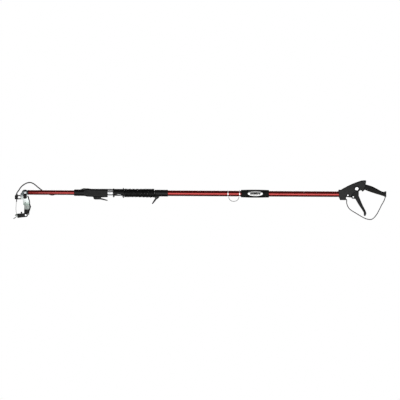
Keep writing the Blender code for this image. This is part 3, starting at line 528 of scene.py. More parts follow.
def smooth_route(points, per_span=6):
    """Points on a smooth curve through the route's own points."""
    route = [Vector(p) for p in points]
    route = [2 * route[0] - route[1], *route, 2 * route[-1] - route[-2]]
    out = []
    for a, b, c, d in zip(route, route[1:], route[2:], route[3:]):
        for k in range(per_span):
            t = k / per_span
            out.append(
                0.5
                * (
                    2 * b
                    + (c - a) * t
                    + (2 * a - 5 * b + 4 * c - d) * t**2
                    + (3 * b - a - 3 * c + d) * t**3
                )
            )
    return [*out, route[-2]]


def tube_mesh(points, radius, sides=16, lobes=0, lay=0.012):
    """A closed tube along a line. With lobes, its section is that of a twisted strand."""
    bm = bmesh.new()
    normal = None
    rings = []
    travelled = 0.0
    for i, here in enumerate(points):
        ahead = (points[min(i + 1, len(points) - 1)] - points[max(i - 1, 0)]).normalized()
        if normal is None:
            side = Vector((0, 1, 0)) if abs(ahead.y) < 0.9 else Vector((0, 0, 1))
            normal = ahead.cross(side).normalized()
        normal = (normal - ahead * normal.dot(ahead)).normalized()
        across = ahead.cross(normal)
        travelled += (here - points[i - 1]).length if i else 0.0
        ring = []
        for k in range(sides):
            angle = math.tau * k / sides
            reach = radius
            if lobes:
                phase = lobes * (angle + math.tau * travelled / lay)
                reach = radius * (0.90 + 0.10 * math.cos(phase))
            ring.append(
                bm.verts.new(here + (normal * math.cos(angle) + across * math.sin(angle)) * reach)
            )
        rings.append(ring)
    return skin(bm, rings)


def cable(name, points, radius, look, body, nodes=(), per_span=6, **kind):
    return solid(
        name, tube_mesh(smooth_route(points, per_span), radius, **kind), look, body, nodes, 50
    )


def inset_moves(points, width, kept):
    """How far each corner of an outline moves when its edges move inwards by the width. Corners too
    tight for it move less, and kept edges stay in line."""
    count = len(points)
    normals, depths = [], []
    for i, here in enumerate(points):
        after = points[(i + 1) % count]
        along = (after - here).normalized()
        normals.append(Vector((-along.y, along.x)))
        depths.append(0.0 if kept(here, after) else width)
    moves = []
    for i in range(count):
        n1, n2, d1, d2 = normals[i - 1], normals[i], depths[i - 1], depths[i]
        det = n1.x * n2.y - n1.y * n2.x
        if abs(det) < 0.08:
            move = (n1 + n2).normalized() * (d1 + d2) / 2
        else:
            move = Vector((d1 * n2.y - d2 * n1.y, n1.x * d2 - n2.x * d1)) / det
        moves.append(move * min(1.0, 2.5 * width / max(move.length, 1e-9)))
    for _ in range(200):
        crossed = False
        for i in range(count):
            j = (i + 1) % count
            edge = points[j] - points[i]
            if (edge + moves[j] - moves[i]).dot(edge) < 0.12 * edge.length_squared:
                moves[i] *= 0.88
                moves[j] *= 0.88
                crossed = True
        if not crossed:
            break
    return moves


def rounded_prism(
    outline, low, high, width, segments=4, sides=(True, True), kept=lambda a, b: False
):
    """A prism along Y whose edges round into its faces, at the low side, the high side or both."""
    points = [Vector(p) for p in outline]
    area = sum(a.x * b.y - b.x * a.y for a, b in zip(points, points[1:] + points[:1]))
    if area < 0:
        points.reverse()
    moves = inset_moves(points, width, kept)
    quarter = [math.radians(90 * k / segments) for k in range(segments + 1)]
    curve = [(1 - math.sin(t), width * (1 - math.cos(t))) for t in quarter]
    start = [(share, low + depth) for share, depth in curve] if sides[0] else [(0.0, low)]
    end = [(share, high - depth) for share, depth in reversed(curve)] if sides[1] else [(0.0, high)]
    bm = bmesh.new()
    rings = [
        [bm.verts.new((p.x + m.x * share, y, p.y + m.y * share)) for p, m in zip(points, moves)]
        for share, y in start + end
    ]
    skin(bm, rings)
    bmesh.ops.recalc_face_normals(bm, faces=bm.faces)
    return bm


def merge(bm, other):
    """Adds another closed body to a piece without joining their surfaces."""
    mesh = bpy.data.meshes.new("merge")
    other.to_mesh(mesh)
    other.free()
    bm.from_mesh(mesh)
    bpy.data.meshes.remove(mesh)
    return bm


def cross_bolt(name, at, look, head, shank, front, back, body, socket=0.0):
    """A bolt along Y with a domed head, which may have a hexagonal socket."""
    radius, thick = head
    crown = (
        (1.0, 0.0), (0.985, 0.45), (0.95, 0.72), (0.87, 0.86), (0.72, 0.95), (0.5, 0.99),
        (0.3, 1.0),
    )
    profile = [(front - thick * high, radius * wide) for high, wide in crown]
    profile += [
        (front, radius), (front, shank), (back - 0.0006, shank), (back, shank * 0.8), (back, 0)
    ]
    made = solid(name, turned(profile, (at.x, 0, at.z), (0, 1, 0), 48), look, body, name)
    made.name = f"{name}_seen"
    if socket:
        cut(made, prism(arc(at, socket, 0, 300, 5), front - thick - 0.01, front - thick * 0.35))
    return made


CUT_CLEAR = 0.002  # how far a cutting body stands out of the face it cuts


def engrave(made, outline, face, depth):
    """Sinks a panel into both side faces of a piece."""
    for side in (-1, 1):
        cut(made, prism(outline, *on_side(side, face - depth, face + CUT_CLEAR)))


def ring_grooves(made, starts, width, low, high):
    """Cuts grooves round the pole's axis."""
    for x in starts:
        ring = [(x, low), (x, high), (x + width, high), (x + width, low)]
        cut(made, turned(ring, sides=96))


def hexagon_nut(name, at, radius, hole, ends, look, body):
    """A nut with chamfered corners on a shank along Y."""
    made = solid(f"{name}_seen", prism(arc(at, radius, 0, 300, 5), *ends), look, body, name)
    middle = (ends[0] + ends[1]) / 2
    half = (ends[1] - ends[0]) / 2
    barrel = [
        (-half, 0), (-half, radius * 0.88), (-half * 0.55, radius * 1.01),
        (half * 0.55, radius * 1.01), (half, radius * 0.88), (half, 0),
    ]
    shaped(made, "INTERSECT", turned(barrel, (at.x, middle, at.z), (0, 1, 0), 48))
    return cut(made, cross_hole(at, hole))


# ---------------------------------------------------------------- camera, light and stage

PHOTO_WIDTH = 2.456  # metres across the picture at the pole
CAMERA_AWAY = 12.0
CAMERA_ROLL = 0.33
CAMERA_AIM = (-0.3371, -0.0408)


def make_camera():
    data = bpy.data.cameras.new("photo_camera")
    data.sensor_width = 36
    data.lens = 36 * CAMERA_AWAY / PHOTO_WIDTH
    data.clip_end = 100
    made = bpy.data.objects.new("photo_camera", data)
    bpy.context.scene.collection.objects.link(made)
    upright = Matrix.Rotation(math.radians(90), 4, "X")
    roll = Matrix.Rotation(math.radians(CAMERA_ROLL), 4, "Z")
    made.matrix_world = Matrix.Translation(
        (CAMERA_AIM[0], -CAMERA_AWAY, CAMERA_AIM[1])
    ) @ upright @ roll
    bpy.context.scene.camera = made


def area_light(name, at, aim, size, power):
    data = bpy.data.lights.new(name, "AREA")
    data.shape = "RECTANGLE"
    data.size, data.size_y = size
    data.energy = power
    made = bpy.data.objects.new(name, data)
    bpy.context.scene.collection.objects.link(made)
    made.location = at
    made.rotation_euler = (Vector(aim) - Vector(at)).to_track_quat("-Z", "Y").to_euler()
    made.visible_camera = False
    return made


def make_stage():
    scene = bpy.context.scene
    scene.view_settings.view_transform = "Standard"
    world = bpy.data.worlds.new("studio")
    scene.world = world
    world.use_nodes = True
    nodes, links = world.node_tree.nodes, world.node_tree.links
    nodes.clear()
    seen = nodes.new("ShaderNodeBackground")
    seen.inputs["Color"].default_value = (1, 1, 1, 1)
    seen.inputs["Strength"].default_value = 1.0
    around = nodes.new("ShaderNodeBackground")
    around.inputs["Color"].default_value = (1, 1, 1, 1)
    around.inputs["Strength"].default_value = 0.10
    rays = nodes.new("ShaderNodeLightPath")
    mix = nodes.new("ShaderNodeMixShader")
    out = nodes.new("ShaderNodeOutputWorld")
    links.new(rays.outputs["Is Camera Ray"], mix.inputs[0])
    links.new(around.outputs[0], mix.inputs[1])
    links.new(seen.outputs[0], mix.inputs[2])
    links.new(mix.outputs[0], out.inputs["Surface"])

    middle = (-0.337, 0, 0)
    area_light("front_panel", (-0.200, -2.93, -1.01), middle, (4.0, 3.1), 92)
    area_light("back_top_light", (-0.337, 2.6, 2.3), middle, (4.0, 1.4), 6)
    area_light("back_panel", (-0.337, 2.93, 0.50), middle, (4.4, 1.8), 75)
    area_light("left_end_light", (-3.6, 0.5, 0.3), middle, (1.4, 1.4), 24)
    area_light("right_end_light", (3.0, 0.6, 0.3), middle, (1.4, 1.4), 24)


# ---------------------------------------------------------------- cables

CLEAR_OF_LOCK = 0.0247  # Y of the sheath where it passes behind the lower lock
COIL_FIRST = COIL_ENDS[1] - 0.0029
COIL_LAST = COIL_ENDS[0] + 0.0035
JOIN_LINE = (0.0242, 0.0010)  # Y and Z of the sheath where the middle and top sections meet
JOIN_ENDS = (-1.1175, -1.1020)  # the stretch of it that pays out between them

# Known fault: the smooth curve overshoots at both ends of the long span below, so the run folds
# back on itself near x -0.51 and 0.47. More points along the straight stretch would cure it.
LOWER_ROUTE = (
    (COIL_ENDS[1] + GAP, CLEAR_OF_LOCK, 0), (-0.5950, CLEAR_OF_LOCK, 0),
    (-0.5300, CLEAR_OF_LOCK, 0), (-0.4950, CABLE_BACK, 0), (-0.4600, CABLE_BACK, 0),
    (0.4200, CABLE_BACK, 0), (0.4550, CABLE_BACK, 0), (0.4800, 0.0225, -0.0025),
    (0.5000, *ADJUSTER_AXIS), (0.5075, *ADJUSTER_AXIS),
)
MIDDLE_ROUTE = (
    (COIL_LAST, 0, CABLE_OVER), (-0.8600, 0, CABLE_OVER), (-0.9000, 0, CABLE_OVER),
    (-1.0150, 0, CABLE_OVER), (-1.0350, 0.0010, 0.0225), (-1.0500, 0.0060, 0.0240),
    (-1.0650, 0.0145, 0.0200), (-1.0800, 0.0215, 0.0115), (-1.0930, 0.0240, 0.0035),
    (-1.1030, *JOIN_LINE), (-1.1095, *JOIN_LINE),
)
TOP_CABLE_Y = TOP_R + SHEATH_R + 2 * GAP
HEAD_ROUTE = (
    (-1.1099, *JOIN_LINE), (-1.1170, *JOIN_LINE), (-1.1380, 0.0212, 0.0000),
    (-1.1560, TOP_CABLE_Y, -0.0010), (-1.1680, TOP_CABLE_Y, -0.0010),
    (-1.1920, TOP_CABLE_Y, -0.0010), (-1.2010, TOP_CABLE_Y, -0.0018), (-1.2220, 0.0172, -0.0085),
    (-1.2460, 0.0125, -0.0152), (-1.2720, 0.0172, -0.0080), (-1.2920, 0.0185, 0.0015),
    (-1.3100, 0.0160, 0.0140), (-1.3336, 0.0125, 0.0320), (-1.3510, 0.0105, 0.0470),
    (-1.3690, 0.0085, 0.0575), (-1.3846, 0.0070, 0.0605), (-1.4030, 0.0050, 0.0565),
    (-1.4220, 0.0030, 0.0455), (-1.4370, 0.0015, 0.0320), (-1.4475, 0.0005, 0.0160),
    (-1.4560, 0, 0.0045), (-1.4606, 0, -0.0030), (FERRULE_X, 0, -0.0085), (FERRULE_X, 0, -0.0120),
    (FERRULE_X, 0, -0.0155),
)
COIL_SWEEP = 270 + 360 * 24  # degrees, from behind the tube down, forwards and up to its top
COIL_STEP = 10  # degrees between the coil's rings
COIL_SHEATH_R = 0.0037  # 0.05 mm more than half the pitch, so the turns overlap by 0.1 mm
COIL_R = 0.0229  # of the sheath's centreline, before its unevenness
LEAD_IN = 150  # degrees in which the coil leaves the run behind the tube
LEAD_OUT = 90  # degrees in which it reaches the run on top of the tube


def coil_point(degrees):
    """The coil's centreline: it starts behind the tube, and ends on top of it."""
    share = min(1.0, max(0.0, (degrees - LEAD_IN) / (COIL_SWEEP - LEAD_IN - LEAD_OUT)))
    near_start = max(0.0, 1 - degrees / LEAD_IN)
    near_end = max(0.0, 1 - (COIL_SWEEP - degrees) / LEAD_OUT)
    x = COIL_FIRST + (COIL_LAST - COIL_FIRST) * share
    bulk = 0.0008 * (0.5 - share) + 0.0005 * math.sin(7 * share + 0.4)
    uneven = 0.0008 * math.sin(degrees * 0.0231) + 0.0006 * math.sin(degrees * 0.0061 + 1.0)
    radius = COIL_R + bulk + uneven
    radius += (CLEAR_OF_LOCK - radius) * near_start + (CABLE_OVER + GAP - radius) * near_end
    turn = -math.radians(degrees)
    return Vector((x, radius * math.cos(turn), radius * math.sin(turn)))


def make_coil():
    """The coiled sheath, built as separate half turns that are then joined into one object."""
    stops = [0, *range(90, COIL_SWEEP + 1, 180)]
    parts = []
    for start, end in zip(stops, stops[1:]):
        steps = round((end - start) / COIL_STEP)
        line = [coil_point(start + (end - start) * i / steps) for i in range(steps + 1)]
        part = solid("cable_coil_turns", coil_tube(line, start, end), "sheath", None, (), 60)
        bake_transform(part)
        parts.append(part)
    bpy.ops.object.select_all(action="DESELECT")
    for part in parts:
        part.select_set(True)
    bpy.context.view_layer.objects.active = parts[0]
    bpy.ops.object.join()
    parts[0].name = "cable_coil_turns"
    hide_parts("cable_coil")


def coil_tube(line, start, end, sides=14):
    """A tube round the coil's centreline, its rings set by the angle so that half turns meet."""
    bm = bmesh.new()
    rings = []
    for i, here in enumerate(line):
        turn = -math.radians(start + (end - start) * i / (len(line) - 1))
        out = Vector((0, math.cos(turn), math.sin(turn)))
        along = Vector((-1, 0, 0))
        ring = []
        for k in range(sides):
            angle = math.tau * k / sides
            around = out * math.cos(angle) + along * math.sin(angle)
            ring.append(bm.verts.new(here + around * COIL_SHEATH_R))
        rings.append(ring)
    return skin(bm, rings)


def wire_turn():
    """Where the inner wire leaves the adjuster's line, and where it meets the anchor pin."""
    return (0.545, *ADJUSTER_AXIS), (0.5985, 0.0135, -0.0155)


def make_cables():
    cable("lower_cable_run", LOWER_ROUTE, SHEATH_R, "sheath", "handle", "lower_cable", 8)
    cable("middle_cable_run", MIDDLE_ROUTE, SHEATH_R, "sheath", "middle", "middle_cable", 8)
    loop = cable("head_cable_loop", HEAD_ROUTE, SHEATH_R, "sheath", None, "head_cable", 6)
    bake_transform(loop)
    low, high = JOIN_ENDS
    line = [Vector((high + (low - high) * i / 16, *JOIN_LINE)) for i in range(17)]
    slack = solid(
        "cable_between_sections", tube_mesh(line, SHEATH_R - 0.0001), "sheath", None, (), 50
    )
    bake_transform(slack)
    make_coil()
    leave, reach = wire_turn()
    inner = ((0.5090, *ADJUSTER_AXIS), (0.5300, *ADJUSTER_AXIS), leave, reach)
    strand = cable(
        "handle_wire", inner, WIRE_R, "wire", None, "handle_inner_wire", 24, sides=18, lobes=6
    )
    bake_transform(strand)
    hang = (
        (FERRULE_X, 0, -0.0165), (FERRULE_X, 0, -0.0300), (-1.4626, 0, -0.0440),
        (-1.4640, 0, -0.0590), (-1.4662, 0, -0.0800), (-1.4668, 0, -0.1020),
        (-1.4650, 0, -0.1200), (-1.4625, 0, -0.1322),
    )
    strand = cable(
        "head_wire", hang, WIRE_R, "wire", None, "head_inner_wire", 16, sides=18, lobes=6
    )
    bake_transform(strand)
    liner = [Vector(p) for p in smooth_route(hang[:4], 8)]
    solid("head_wire_liner", tube_mesh(liner, 0.0029), "sheath", "head", (), 50)


# ---------------------------------------------------------------- tubes, foam and badge


def make_tubes():
    for name, ends, radius, look, body in (
        ("outer_tube", OUTER_ENDS, OUTER_R, "red", "handle"),
        ("middle_tube", MIDDLE_ENDS, MIDDLE_R, "bare", "middle"),
        ("top_tube", TOP_ENDS, TOP_R, "red", "top"),
    ):
        profile = sleeve_profile(ends, radius - WALL, radius)
        lathe(f"{name}_drawn", profile, look, body, name, sides=96, edge=0.0004)
    for name, x, radius, body in (
        ("middle_tube_bush", MIDDLE_ENDS[1], MIDDLE_R, "middle"),
        ("top_tube_bush", TOP_ENDS[1], TOP_R, "top"),
    ):
        bore = radius - WALL
        profile = [
            (x - 0.018, bore - GAP), (x + GAP, bore - GAP), (x + GAP, radius + GAP / 2),
            (x + 0.006, radius + GAP / 2), (x + 0.006, bore - 0.004), (x - 0.018, bore - 0.004),
        ]
        lathe(f"{name}_ring", profile, "nylon", body, name, edge=0.0003)


FOAM_HALF = 0.086
FOAM_BORE = 0.0178


def foam_radius(x, half=FOAM_HALF):
    """The foam swells from 22.8 mm at its ends to 24.5 mm in the middle, with rounded ends."""
    swell = 0.0228 + 0.0017 * math.cos(math.pi / 2 * x / half)
    from_end = min(half - abs(x), 0.003) / 0.003
    return swell - 0.0020 * (1 - math.sqrt(1 - (1 - from_end) ** 2))


def make_foam():
    half = FOAM_HALF
    near_end = [0.0, 0.0002, 0.0006, 0.0012, 0.002, 0.003]
    xs = [-half + s for s in near_end]
    xs += [-half + 0.003 + (2 * half - 0.006) * i / 40 for i in range(1, 40)]
    xs += [half - s for s in reversed(near_end)]
    profile = [(x, foam_radius(x)) for x in xs] + [(half, FOAM_BORE), (-half, FOAM_BORE)]
    foam = solid("foam_grip_sleeve", turned(profile, sides=96), "foam", "handle", "foam_grip")
    cut(foam, box((-0.1, 0.010, -0.0039), (0.1, 0.040, 0.0039)))


BADGE_X = 0.0015
BADGE_FACES = (0.0249, 0.0256)  # radii of the plate's back and front


def curved_plate(outline_at, low, high, steps=48, centre=(BADGE_X, 0)):
    """A closed plate bent round the foam, with an outline given by its radius at each angle."""
    bm = bmesh.new()

    def point(x, z, radius):
        return bm.verts.new((x, -math.sqrt(radius**2 - z**2), z))

    layers = []
    for radius in (low, high):
        rings = [[point(*centre, radius)]]
        for share in (0.35, 0.7, 1.0):
            ring = []
            for i in range(steps):
                dx, dz = outline_at(math.tau * i / steps)
                ring.append(point(centre[0] + dx * share, centre[1] + dz * share, radius))
            rings.append(ring)
        layers.append(rings)
        for i in range(steps):
            bm.faces.new((rings[0][0], rings[1][i - 1], rings[1][i]))
            for inner, outer in zip(rings[1:], rings[2:]):
                bm.faces.new((inner[i - 1], outer[i - 1], outer[i], inner[i]))
    for i in range(steps):
        a, b = layers[0][-1], layers[1][-1]
        bm.faces.new((a[i - 1], a[i], b[i], b[i - 1]))
    return bm


def make_badge():
    def oval(angle, half_x=0.0465, half_z=0.0150):
        return half_x * math.cos(angle), half_z * math.sin(angle)

    solid("grip_badge_plate", curved_plate(oval, *BADGE_FACES), "white", "handle", "grip_badge")
    rim_in = 0.985  # the rim lies just inside the edge
    rim = []
    for i in range(65):
        x, z = (rim_in * reach for reach in oval(math.tau * i / 64))
        rim.append(Vector((BADGE_X + x, -math.sqrt(BADGE_FACES[1] ** 2 - z**2), z)))
    solid("grip_badge_rim", tube_mesh(rim, 0.0004, 8), "white", "handle", (), 60)
    bars = bmesh.new()
    for k in range(6):
        x = BADGE_X - 0.0265 + 0.0106 * k
        tall = 0.0070 if k in (2, 3) else 0.0062
        outline = [(x - 0.0060, -tall), (x + 0.0034, -tall), (x + 0.0060, tall), (x - 0.0034, tall)]
        merge(bars, prism(rounded(outline, 0.0008, 3), -0.0260, -0.0246))
    solid("grip_badge_marks", bars, "ink", "handle")


# ---------------------------------------------------------------- handle

HOUSING_FRONT = ((0.5170, -0.0240), (0.5105, 0.0190), (0.5145, 0.0285), (0.5250, 0.0265))
HOUSING_CROWN = (
    (0.5250, 0.0265), (0.5620, 0.0470), (0.5950, 0.0630), (0.6330, 0.0780), (0.6540, 0.0845)
)
HOUSING_BACK = (
    (0.6740, 0.0862), (0.6815, 0.0835), (0.6785, 0.0610), (0.6720, 0.0265), (0.6607, 0.0165),
    (0.6520, 0.0265),
)
HOUSING_UNDER = (
    (0.6370, 0.0190), (0.6240, 0.0160), (0.6110, 0.0105), (0.6000, 0.0000), (0.5925, -0.0095),
    (0.5895, -0.0205), (0.5594, -0.0165), (0.5569, -0.0366), (0.5244, -0.0366),
)
CAVITY = (
    (0.5630, -0.0120), (0.5860, -0.0165), (0.5890, -0.0400), (0.6430, -0.0400), (0.6442, 0.0250),
    (0.6480, 0.0320), (0.6480, 0.0740), (0.6330, 0.0720), (0.5970, 0.0575), (0.5650, 0.0420),
    (0.5630, 0.0350),
)


def flat_curve(points, per_span=5):
    """A smooth curve through points in the X-Z plane."""
    return [(p.x, p.z) for p in smooth_route([(x, 0, z) for x, z in points], per_span)]


def housing_outline():
    crown = flat_curve(HOUSING_CROWN)[1:]
    under = flat_curve(HOUSING_UNDER[:6], 4)
    return [*HOUSING_FRONT, *crown, *HOUSING_BACK, *under, *HOUSING_UNDER[6:]]


def make_housing():
    across, height = ADJUSTER_AXIS
    upper_panel = (
        (0.5300, 0.0160), (0.5640, 0.0385), (0.5960, 0.0530), (0.6010, 0.0440), (0.5960, 0.0200)
    )
    rear_panel = (
        (0.6330, 0.0690), (0.6660, 0.0775), (0.6720, 0.0740), (0.6665, 0.0320), (0.6480, 0.0370)
    )
    foot_panel = ((0.5290, -0.0290), (0.5520, -0.0290), (0.5530, -0.0170), (0.5260, -0.0170))
    leave, reach = wire_turn()
    for side, name in ((-1, "left"), (1, "right")):
        ends = on_side(side, GAP / 2, HOUSING_HALF)
        shell = rounded_prism(housing_outline(), *ends, 0.0050, 5, (side < 0, side > 0))
        made = solid(f"housing_{name}_shell", shell, "housing", "handle", f"housing_{name}")
        sunk = on_side(side, HOUSING_HALF - 0.0011, HOUSING_HALF + CUT_CLEAR)
        for panel in (upper_panel, rear_panel, foot_panel):
            cut(made, prism(rounded(panel, 0.004), *sunk))
        if side < 0:
            inside_front = (LEVER_PIVOT.x, 0.0025 - HOUSING_HALF, LEVER_PIVOT.z)
            ring = [(0, 0), (0, 0.01625), (0.0035, 0.01625), (0.0045, 0.0150), (0.0045, 0)]
            join(made, turned(softened_profile(ring, 0.0008), inside_front, (0, -1, 0), 64))
        else:
            boss = [
                (0.516, 0), (0.516, 0.0058), (0.5175, 0.0065), (0.570, 0.0065), (0.576, 0.003),
                (0.576, 0),
            ]
            join(made, turned(boss, (0, across, height), sides=48))
        cut(
            made,
            rod((0.50, 0, 0), (0.5603, 0, 0), OUTER_R + GAP, 96),
            prism(CAVITY, -CAVITY_HALF, CAVITY_HALF),
            box((0.6520, -0.0093, 0.0317), (0.700, 0.0093, 0.0573)),
            cross_hole(LEVER_PIVOT, 0.0053),
            cross_hole(FRONT_SCREW, 0.0025),
            cross_hole(REAR_SCREW, 0.0021),
            rod((0.5440, 0, -0.0302), (0.5800, 0, -0.0302), 0.0033, 32),
        )
        if side > 0:
            cut(made, rod((0.50, across, height), (0.5490, across, height), 0.0048, 32))
            cut(made, rod(leave, reach, 0.0024, 24))


def make_fasteners():
    front = -HOUSING_HALF - 0.0020
    cross_bolt(
        "pivot_bolt", LEVER_PIVOT, "bright", (0.0110, 0.0025), 0.0050, front - GAP, 0.0290,
        "handle",
    )
    hexagon_nut(
        "pivot_nut", LEVER_PIVOT, 0.0088, 0.0053, (
            HOUSING_HALF + GAP, HOUSING_HALF + 0.0065
        ), "bright", "handle"
    )
    out = -HOUSING_HALF - GAP
    cross_bolt(
        "housing_screw_front", FRONT_SCREW, "bright", (0.0045, 0.0020), 0.0022, out, 0.0200,
        "handle",
    )
    cross_bolt(
        "housing_screw_rear", REAR_SCREW, "dark", (0.0032, 0.0016), 0.0018, out, 0.0200, "handle",
        0.0012,
    )


GRIP_ENDS = (0.6690, 0.7940)
GRIP_SIDES = 48
RIBBED = (0.6950, 0.7750)  # where the finger ribs start and stop
RIB_PITCH = 0.0075


def make_rear_grip():
    """A lofted grip with an oval section and finger ribs below."""
    top = (
        (0.6690, 0.0640), (0.6815, 0.0605), (0.7000, 0.0555), (0.7239, 0.0470), (0.7534, 0.0320),
        (0.7767, 0.0195), (0.7940, 0.0150),
    )
    under = (
        (0.6690, 0.0290), (0.6815, 0.0245), (0.7090, 0.0140), (0.7330, 0.0062), (0.7534, 0.0000),
        (0.7767, -0.0066), (0.7940, -0.0115),
    )
    stations = 60
    bm = bmesh.new()

    def height(line, x):
        curve = flat_curve(line, 8)
        for (x0, z0), (x1, z1) in zip(curve, curve[1:]):
            if x <= x1:
                return z0 + (z1 - z0) * (x - x0) / (x1 - x0)
        return curve[-1][1]

    rings = []
    for i in range(stations + 1):
        x = GRIP_ENDS[0] + (GRIP_ENDS[1] - GRIP_ENDS[0]) * i / stations
        high, low = height(top, x), height(under, x)
        middle, tall = (high + low) / 2, (high - low) / 2
        ring = []
        for k in range(GRIP_SIDES):
            angle = math.tau * k / GRIP_SIDES
            c, s = math.cos(angle), math.sin(angle)
            y = 0.0160 * math.copysign(abs(c) ** 0.62, c)
            z = tall * math.copysign(abs(s) ** 0.62, s)
            wave = 0.5 + 0.5 * math.cos(math.tau * (x - RIBBED[0]) / RIB_PITCH)
            ripple = 0.0007 * max(0.0, -s) * wave
            inside = RIBBED[0] < x < RIBBED[1]
            ring.append(bm.verts.new((x, y, middle + z + (ripple if inside else 0.0))))
        rings.append(ring)
    grip = solid("rear_grip_body", skin(bm, rings), "rubber", "handle", "rear_grip", 45)
    cut(grip, prism(housing_outline(), -0.030, 0.030))
    join(grip, box((0.6523, -0.009, 0.0320), (0.690, 0.009, 0.0570)))
    for side in (-1, 1):
        panel = [
            (0.694, 0.0490), (0.722, 0.0390), (0.752, 0.0240), (0.781, 0.0095), (0.781, 0.0010),
            (0.752, 0.0075),
        ]
        panel += [(0.722, 0.0180), (0.694, 0.0270)]
        cut(grip, prism(rounded(panel, 0.004), *on_side(side, 0.0153, 0.020)))
    ribs = bmesh.new()
    for k in range(16):
        x = 0.6985 + 0.0050 * k
        z = height(top, x) / 2 + height(under, x) / 2
        for side in (-1, 1):
            outline = oblong(x - 0.0009, z - 0.0085, x + 0.0009, z + 0.0085)
            merge(ribs, prism(outline, *on_side(side, 0.0148, 0.0160)))
    solid("rear_grip_ribs", ribs, "rubber", "handle")


def make_end_cap():
    corners = ((0.7943, 0.0185), (0.8050, 0.0195), (0.8050, -0.0160), (0.7943, -0.0150))
    cap = solid(
        "grip_end_plate", prism(rounded(corners, 0.002, 3), -0.0175, 0.0175), "plastic", "handle",
        "grip_end_cap",
    )
    soften(cap, 0.0016, 4)
    ring = sleeve_profile((0.8044, 0.8051), 0.0086, 0.0098)
    cut(
        cap, rod((0.7996, 0, -0.0300), (0.7996, 0, -0.0040), 0.0031, 32),
        turned(ring, (0, 0, 0.0018), sides=64),
    )


def make_guard():
    route = (
        (0.5465, -0.0302), (0.5560, -0.0302), (0.5610, -0.0316), (0.5636, -0.0370),
        (0.5636, -0.0540), (0.5716, -0.0770), (0.5864, -0.0950), (0.6128, -0.1115),
        (0.6539, -0.1360), (0.6828, -0.1500), (0.7067, -0.1545), (0.7239, -0.1500),
        (0.7417, -0.1320), (0.7564, -0.1090), (0.7767, -0.0680), (0.7914, -0.0410),
        (0.7988, -0.0220), (0.7996, -0.0150), (0.7996, -0.0050),
    )
    cable(
        "hand_guard_rod", [(x, 0, z) for x, z in route], 0.00275, "guard", "handle", "hand_guard",
        6,
    )


def make_lever():
    boss = arc(LEVER_PIVOT, 0.0135, -5, 185, 24)
    nose = arc(ANCHOR, 0.0115, 160, 290, 16)
    front = flat_curve(
        ((0.6180, -0.0300), (0.6360, -0.0620), (0.6655, -0.1060), (0.6695, -0.1240)), 6
    )
    tip = arc((0.6752, -0.1275), 0.0055, 190, 350, 12)
    back = flat_curve(
        ((0.6846, -0.1180), (0.6800, -0.1030), (0.6594, -0.0620), (0.6370, -0.0095)), 6
    )
    shape = rounded_prism([*boss, *nose, *front, *tip, *back], -LEVER_HALF, LEVER_HALF, 0.0032)
    made = solid("squeeze_lever_body", shape, "plastic", "trigger", "squeeze_lever")
    channel = (
        (0.6180, -0.0120), (0.6300, -0.0120), (0.6500, -0.0560), (0.6740, -0.1050),
        (0.6700, -0.1090),
    )
    channel += ((0.6420, -0.0640), (0.6220, -0.0290))
    engrave(made, rounded(channel, 0.004), LEVER_HALF, 0.0022)
    cut(made, cross_hole(LEVER_PIVOT, 0.0080), cross_hole(ANCHOR, 0.0035))
    bush = sleeve_profile((-0.0103, 0.0103), 0.0053, 0.0077)
    lathe(
        "lever_bush_ring", bush, "bronze", "trigger", "lever_bush", LEVER_PIVOT, (0, 1, 0), 48,
        0.0004,
    )
    cross_bolt(
        "cable_anchor_pin", ANCHOR, "bright", (0.0048, 0.0020), 0.0032, -LEVER_HALF - GAP, 0.0170,
        "trigger",
    )
    turns = []
    for i in range(4 * 24 + 1):
        angle = math.tau * i / 24
        y = -0.0160 + 0.0046 * i / 96
        across, up = 0.0101 * math.cos(angle), 0.0101 * math.sin(angle)
        turns.append(Vector((LEVER_PIVOT.x + across, y, LEVER_PIVOT.z + up)))
    solid(
        "return_spring_wire", tube_mesh(turns, 0.00055, 10), "bright", "handle", "return_spring",
        60,
    )


def make_adjuster():
    """A knurled barrel with a lock nut, screwed into the housing's cable boss."""
    across, height = ADJUSTER_AXIS
    profile = [
        (0.4980, 0.0055), (0.5085, 0.0055), (0.5085, 0.0046), (0.5096, 0.0046), (0.5096, 0.0058),
        (0.5130, 0.0058), (0.5130, 0.0045), (0.5320, 0.0045), (0.5320, 0.0016), (0.5080, 0.0016),
        (0.5080, 0.0039), (0.4980, 0.0039),
    ]
    bm = turned(softened_profile(profile, 0.0003), (0, across, height), sides=48)
    for k in range(20):
        angle = math.tau * k / 20
        centre = (0, across + 0.0055 * math.cos(angle), height + 0.0055 * math.sin(angle))
        merge(bm, rod((0.4988, *centre[1:]), (0.5078, *centre[1:]), 0.0003, 6))
    solid("cable_adjuster_barrel", bm, "bright", "handle", "cable_adjuster")


def make_saddle(name, x, tube_r, cable_y, cable_z, body):
    """A clip that holds the sheath against the back of a tube."""
    top = cable_y + SHEATH_R + 0.002
    half = 0.0065
    outline = [
        (tube_r * 0.75, cable_z - half), (top - 0.003, cable_z - half),
        (top, cable_z - half + 0.003),
    ]
    outline += [
        (top, cable_z + half - 0.003), (top - 0.003, cable_z + half),
        (tube_r * 0.75, cable_z + half),
    ]
    bm = prism(outline, x - 0.008, x + 0.008, "X")
    made = soften(solid(f"{name}_clip", bm, "plastic", body, name), 0.0010, 3)
    hollow = SHEATH_R + GAP
    channel = [
        (0.005, cable_z - hollow), *arc((cable_y, cable_z), hollow, -90, 90),
        (0.005, cable_z + hollow),
    ]
    cut(made, rod((x - 0.02, 0, 0), (x + 0.02, 0, 0), tube_r + GAP, 96))
    return cut(made, prism(channel, x - 0.02, x + 0.02, "X"))


# ---------------------------------------------------------------- clips, bails, locks


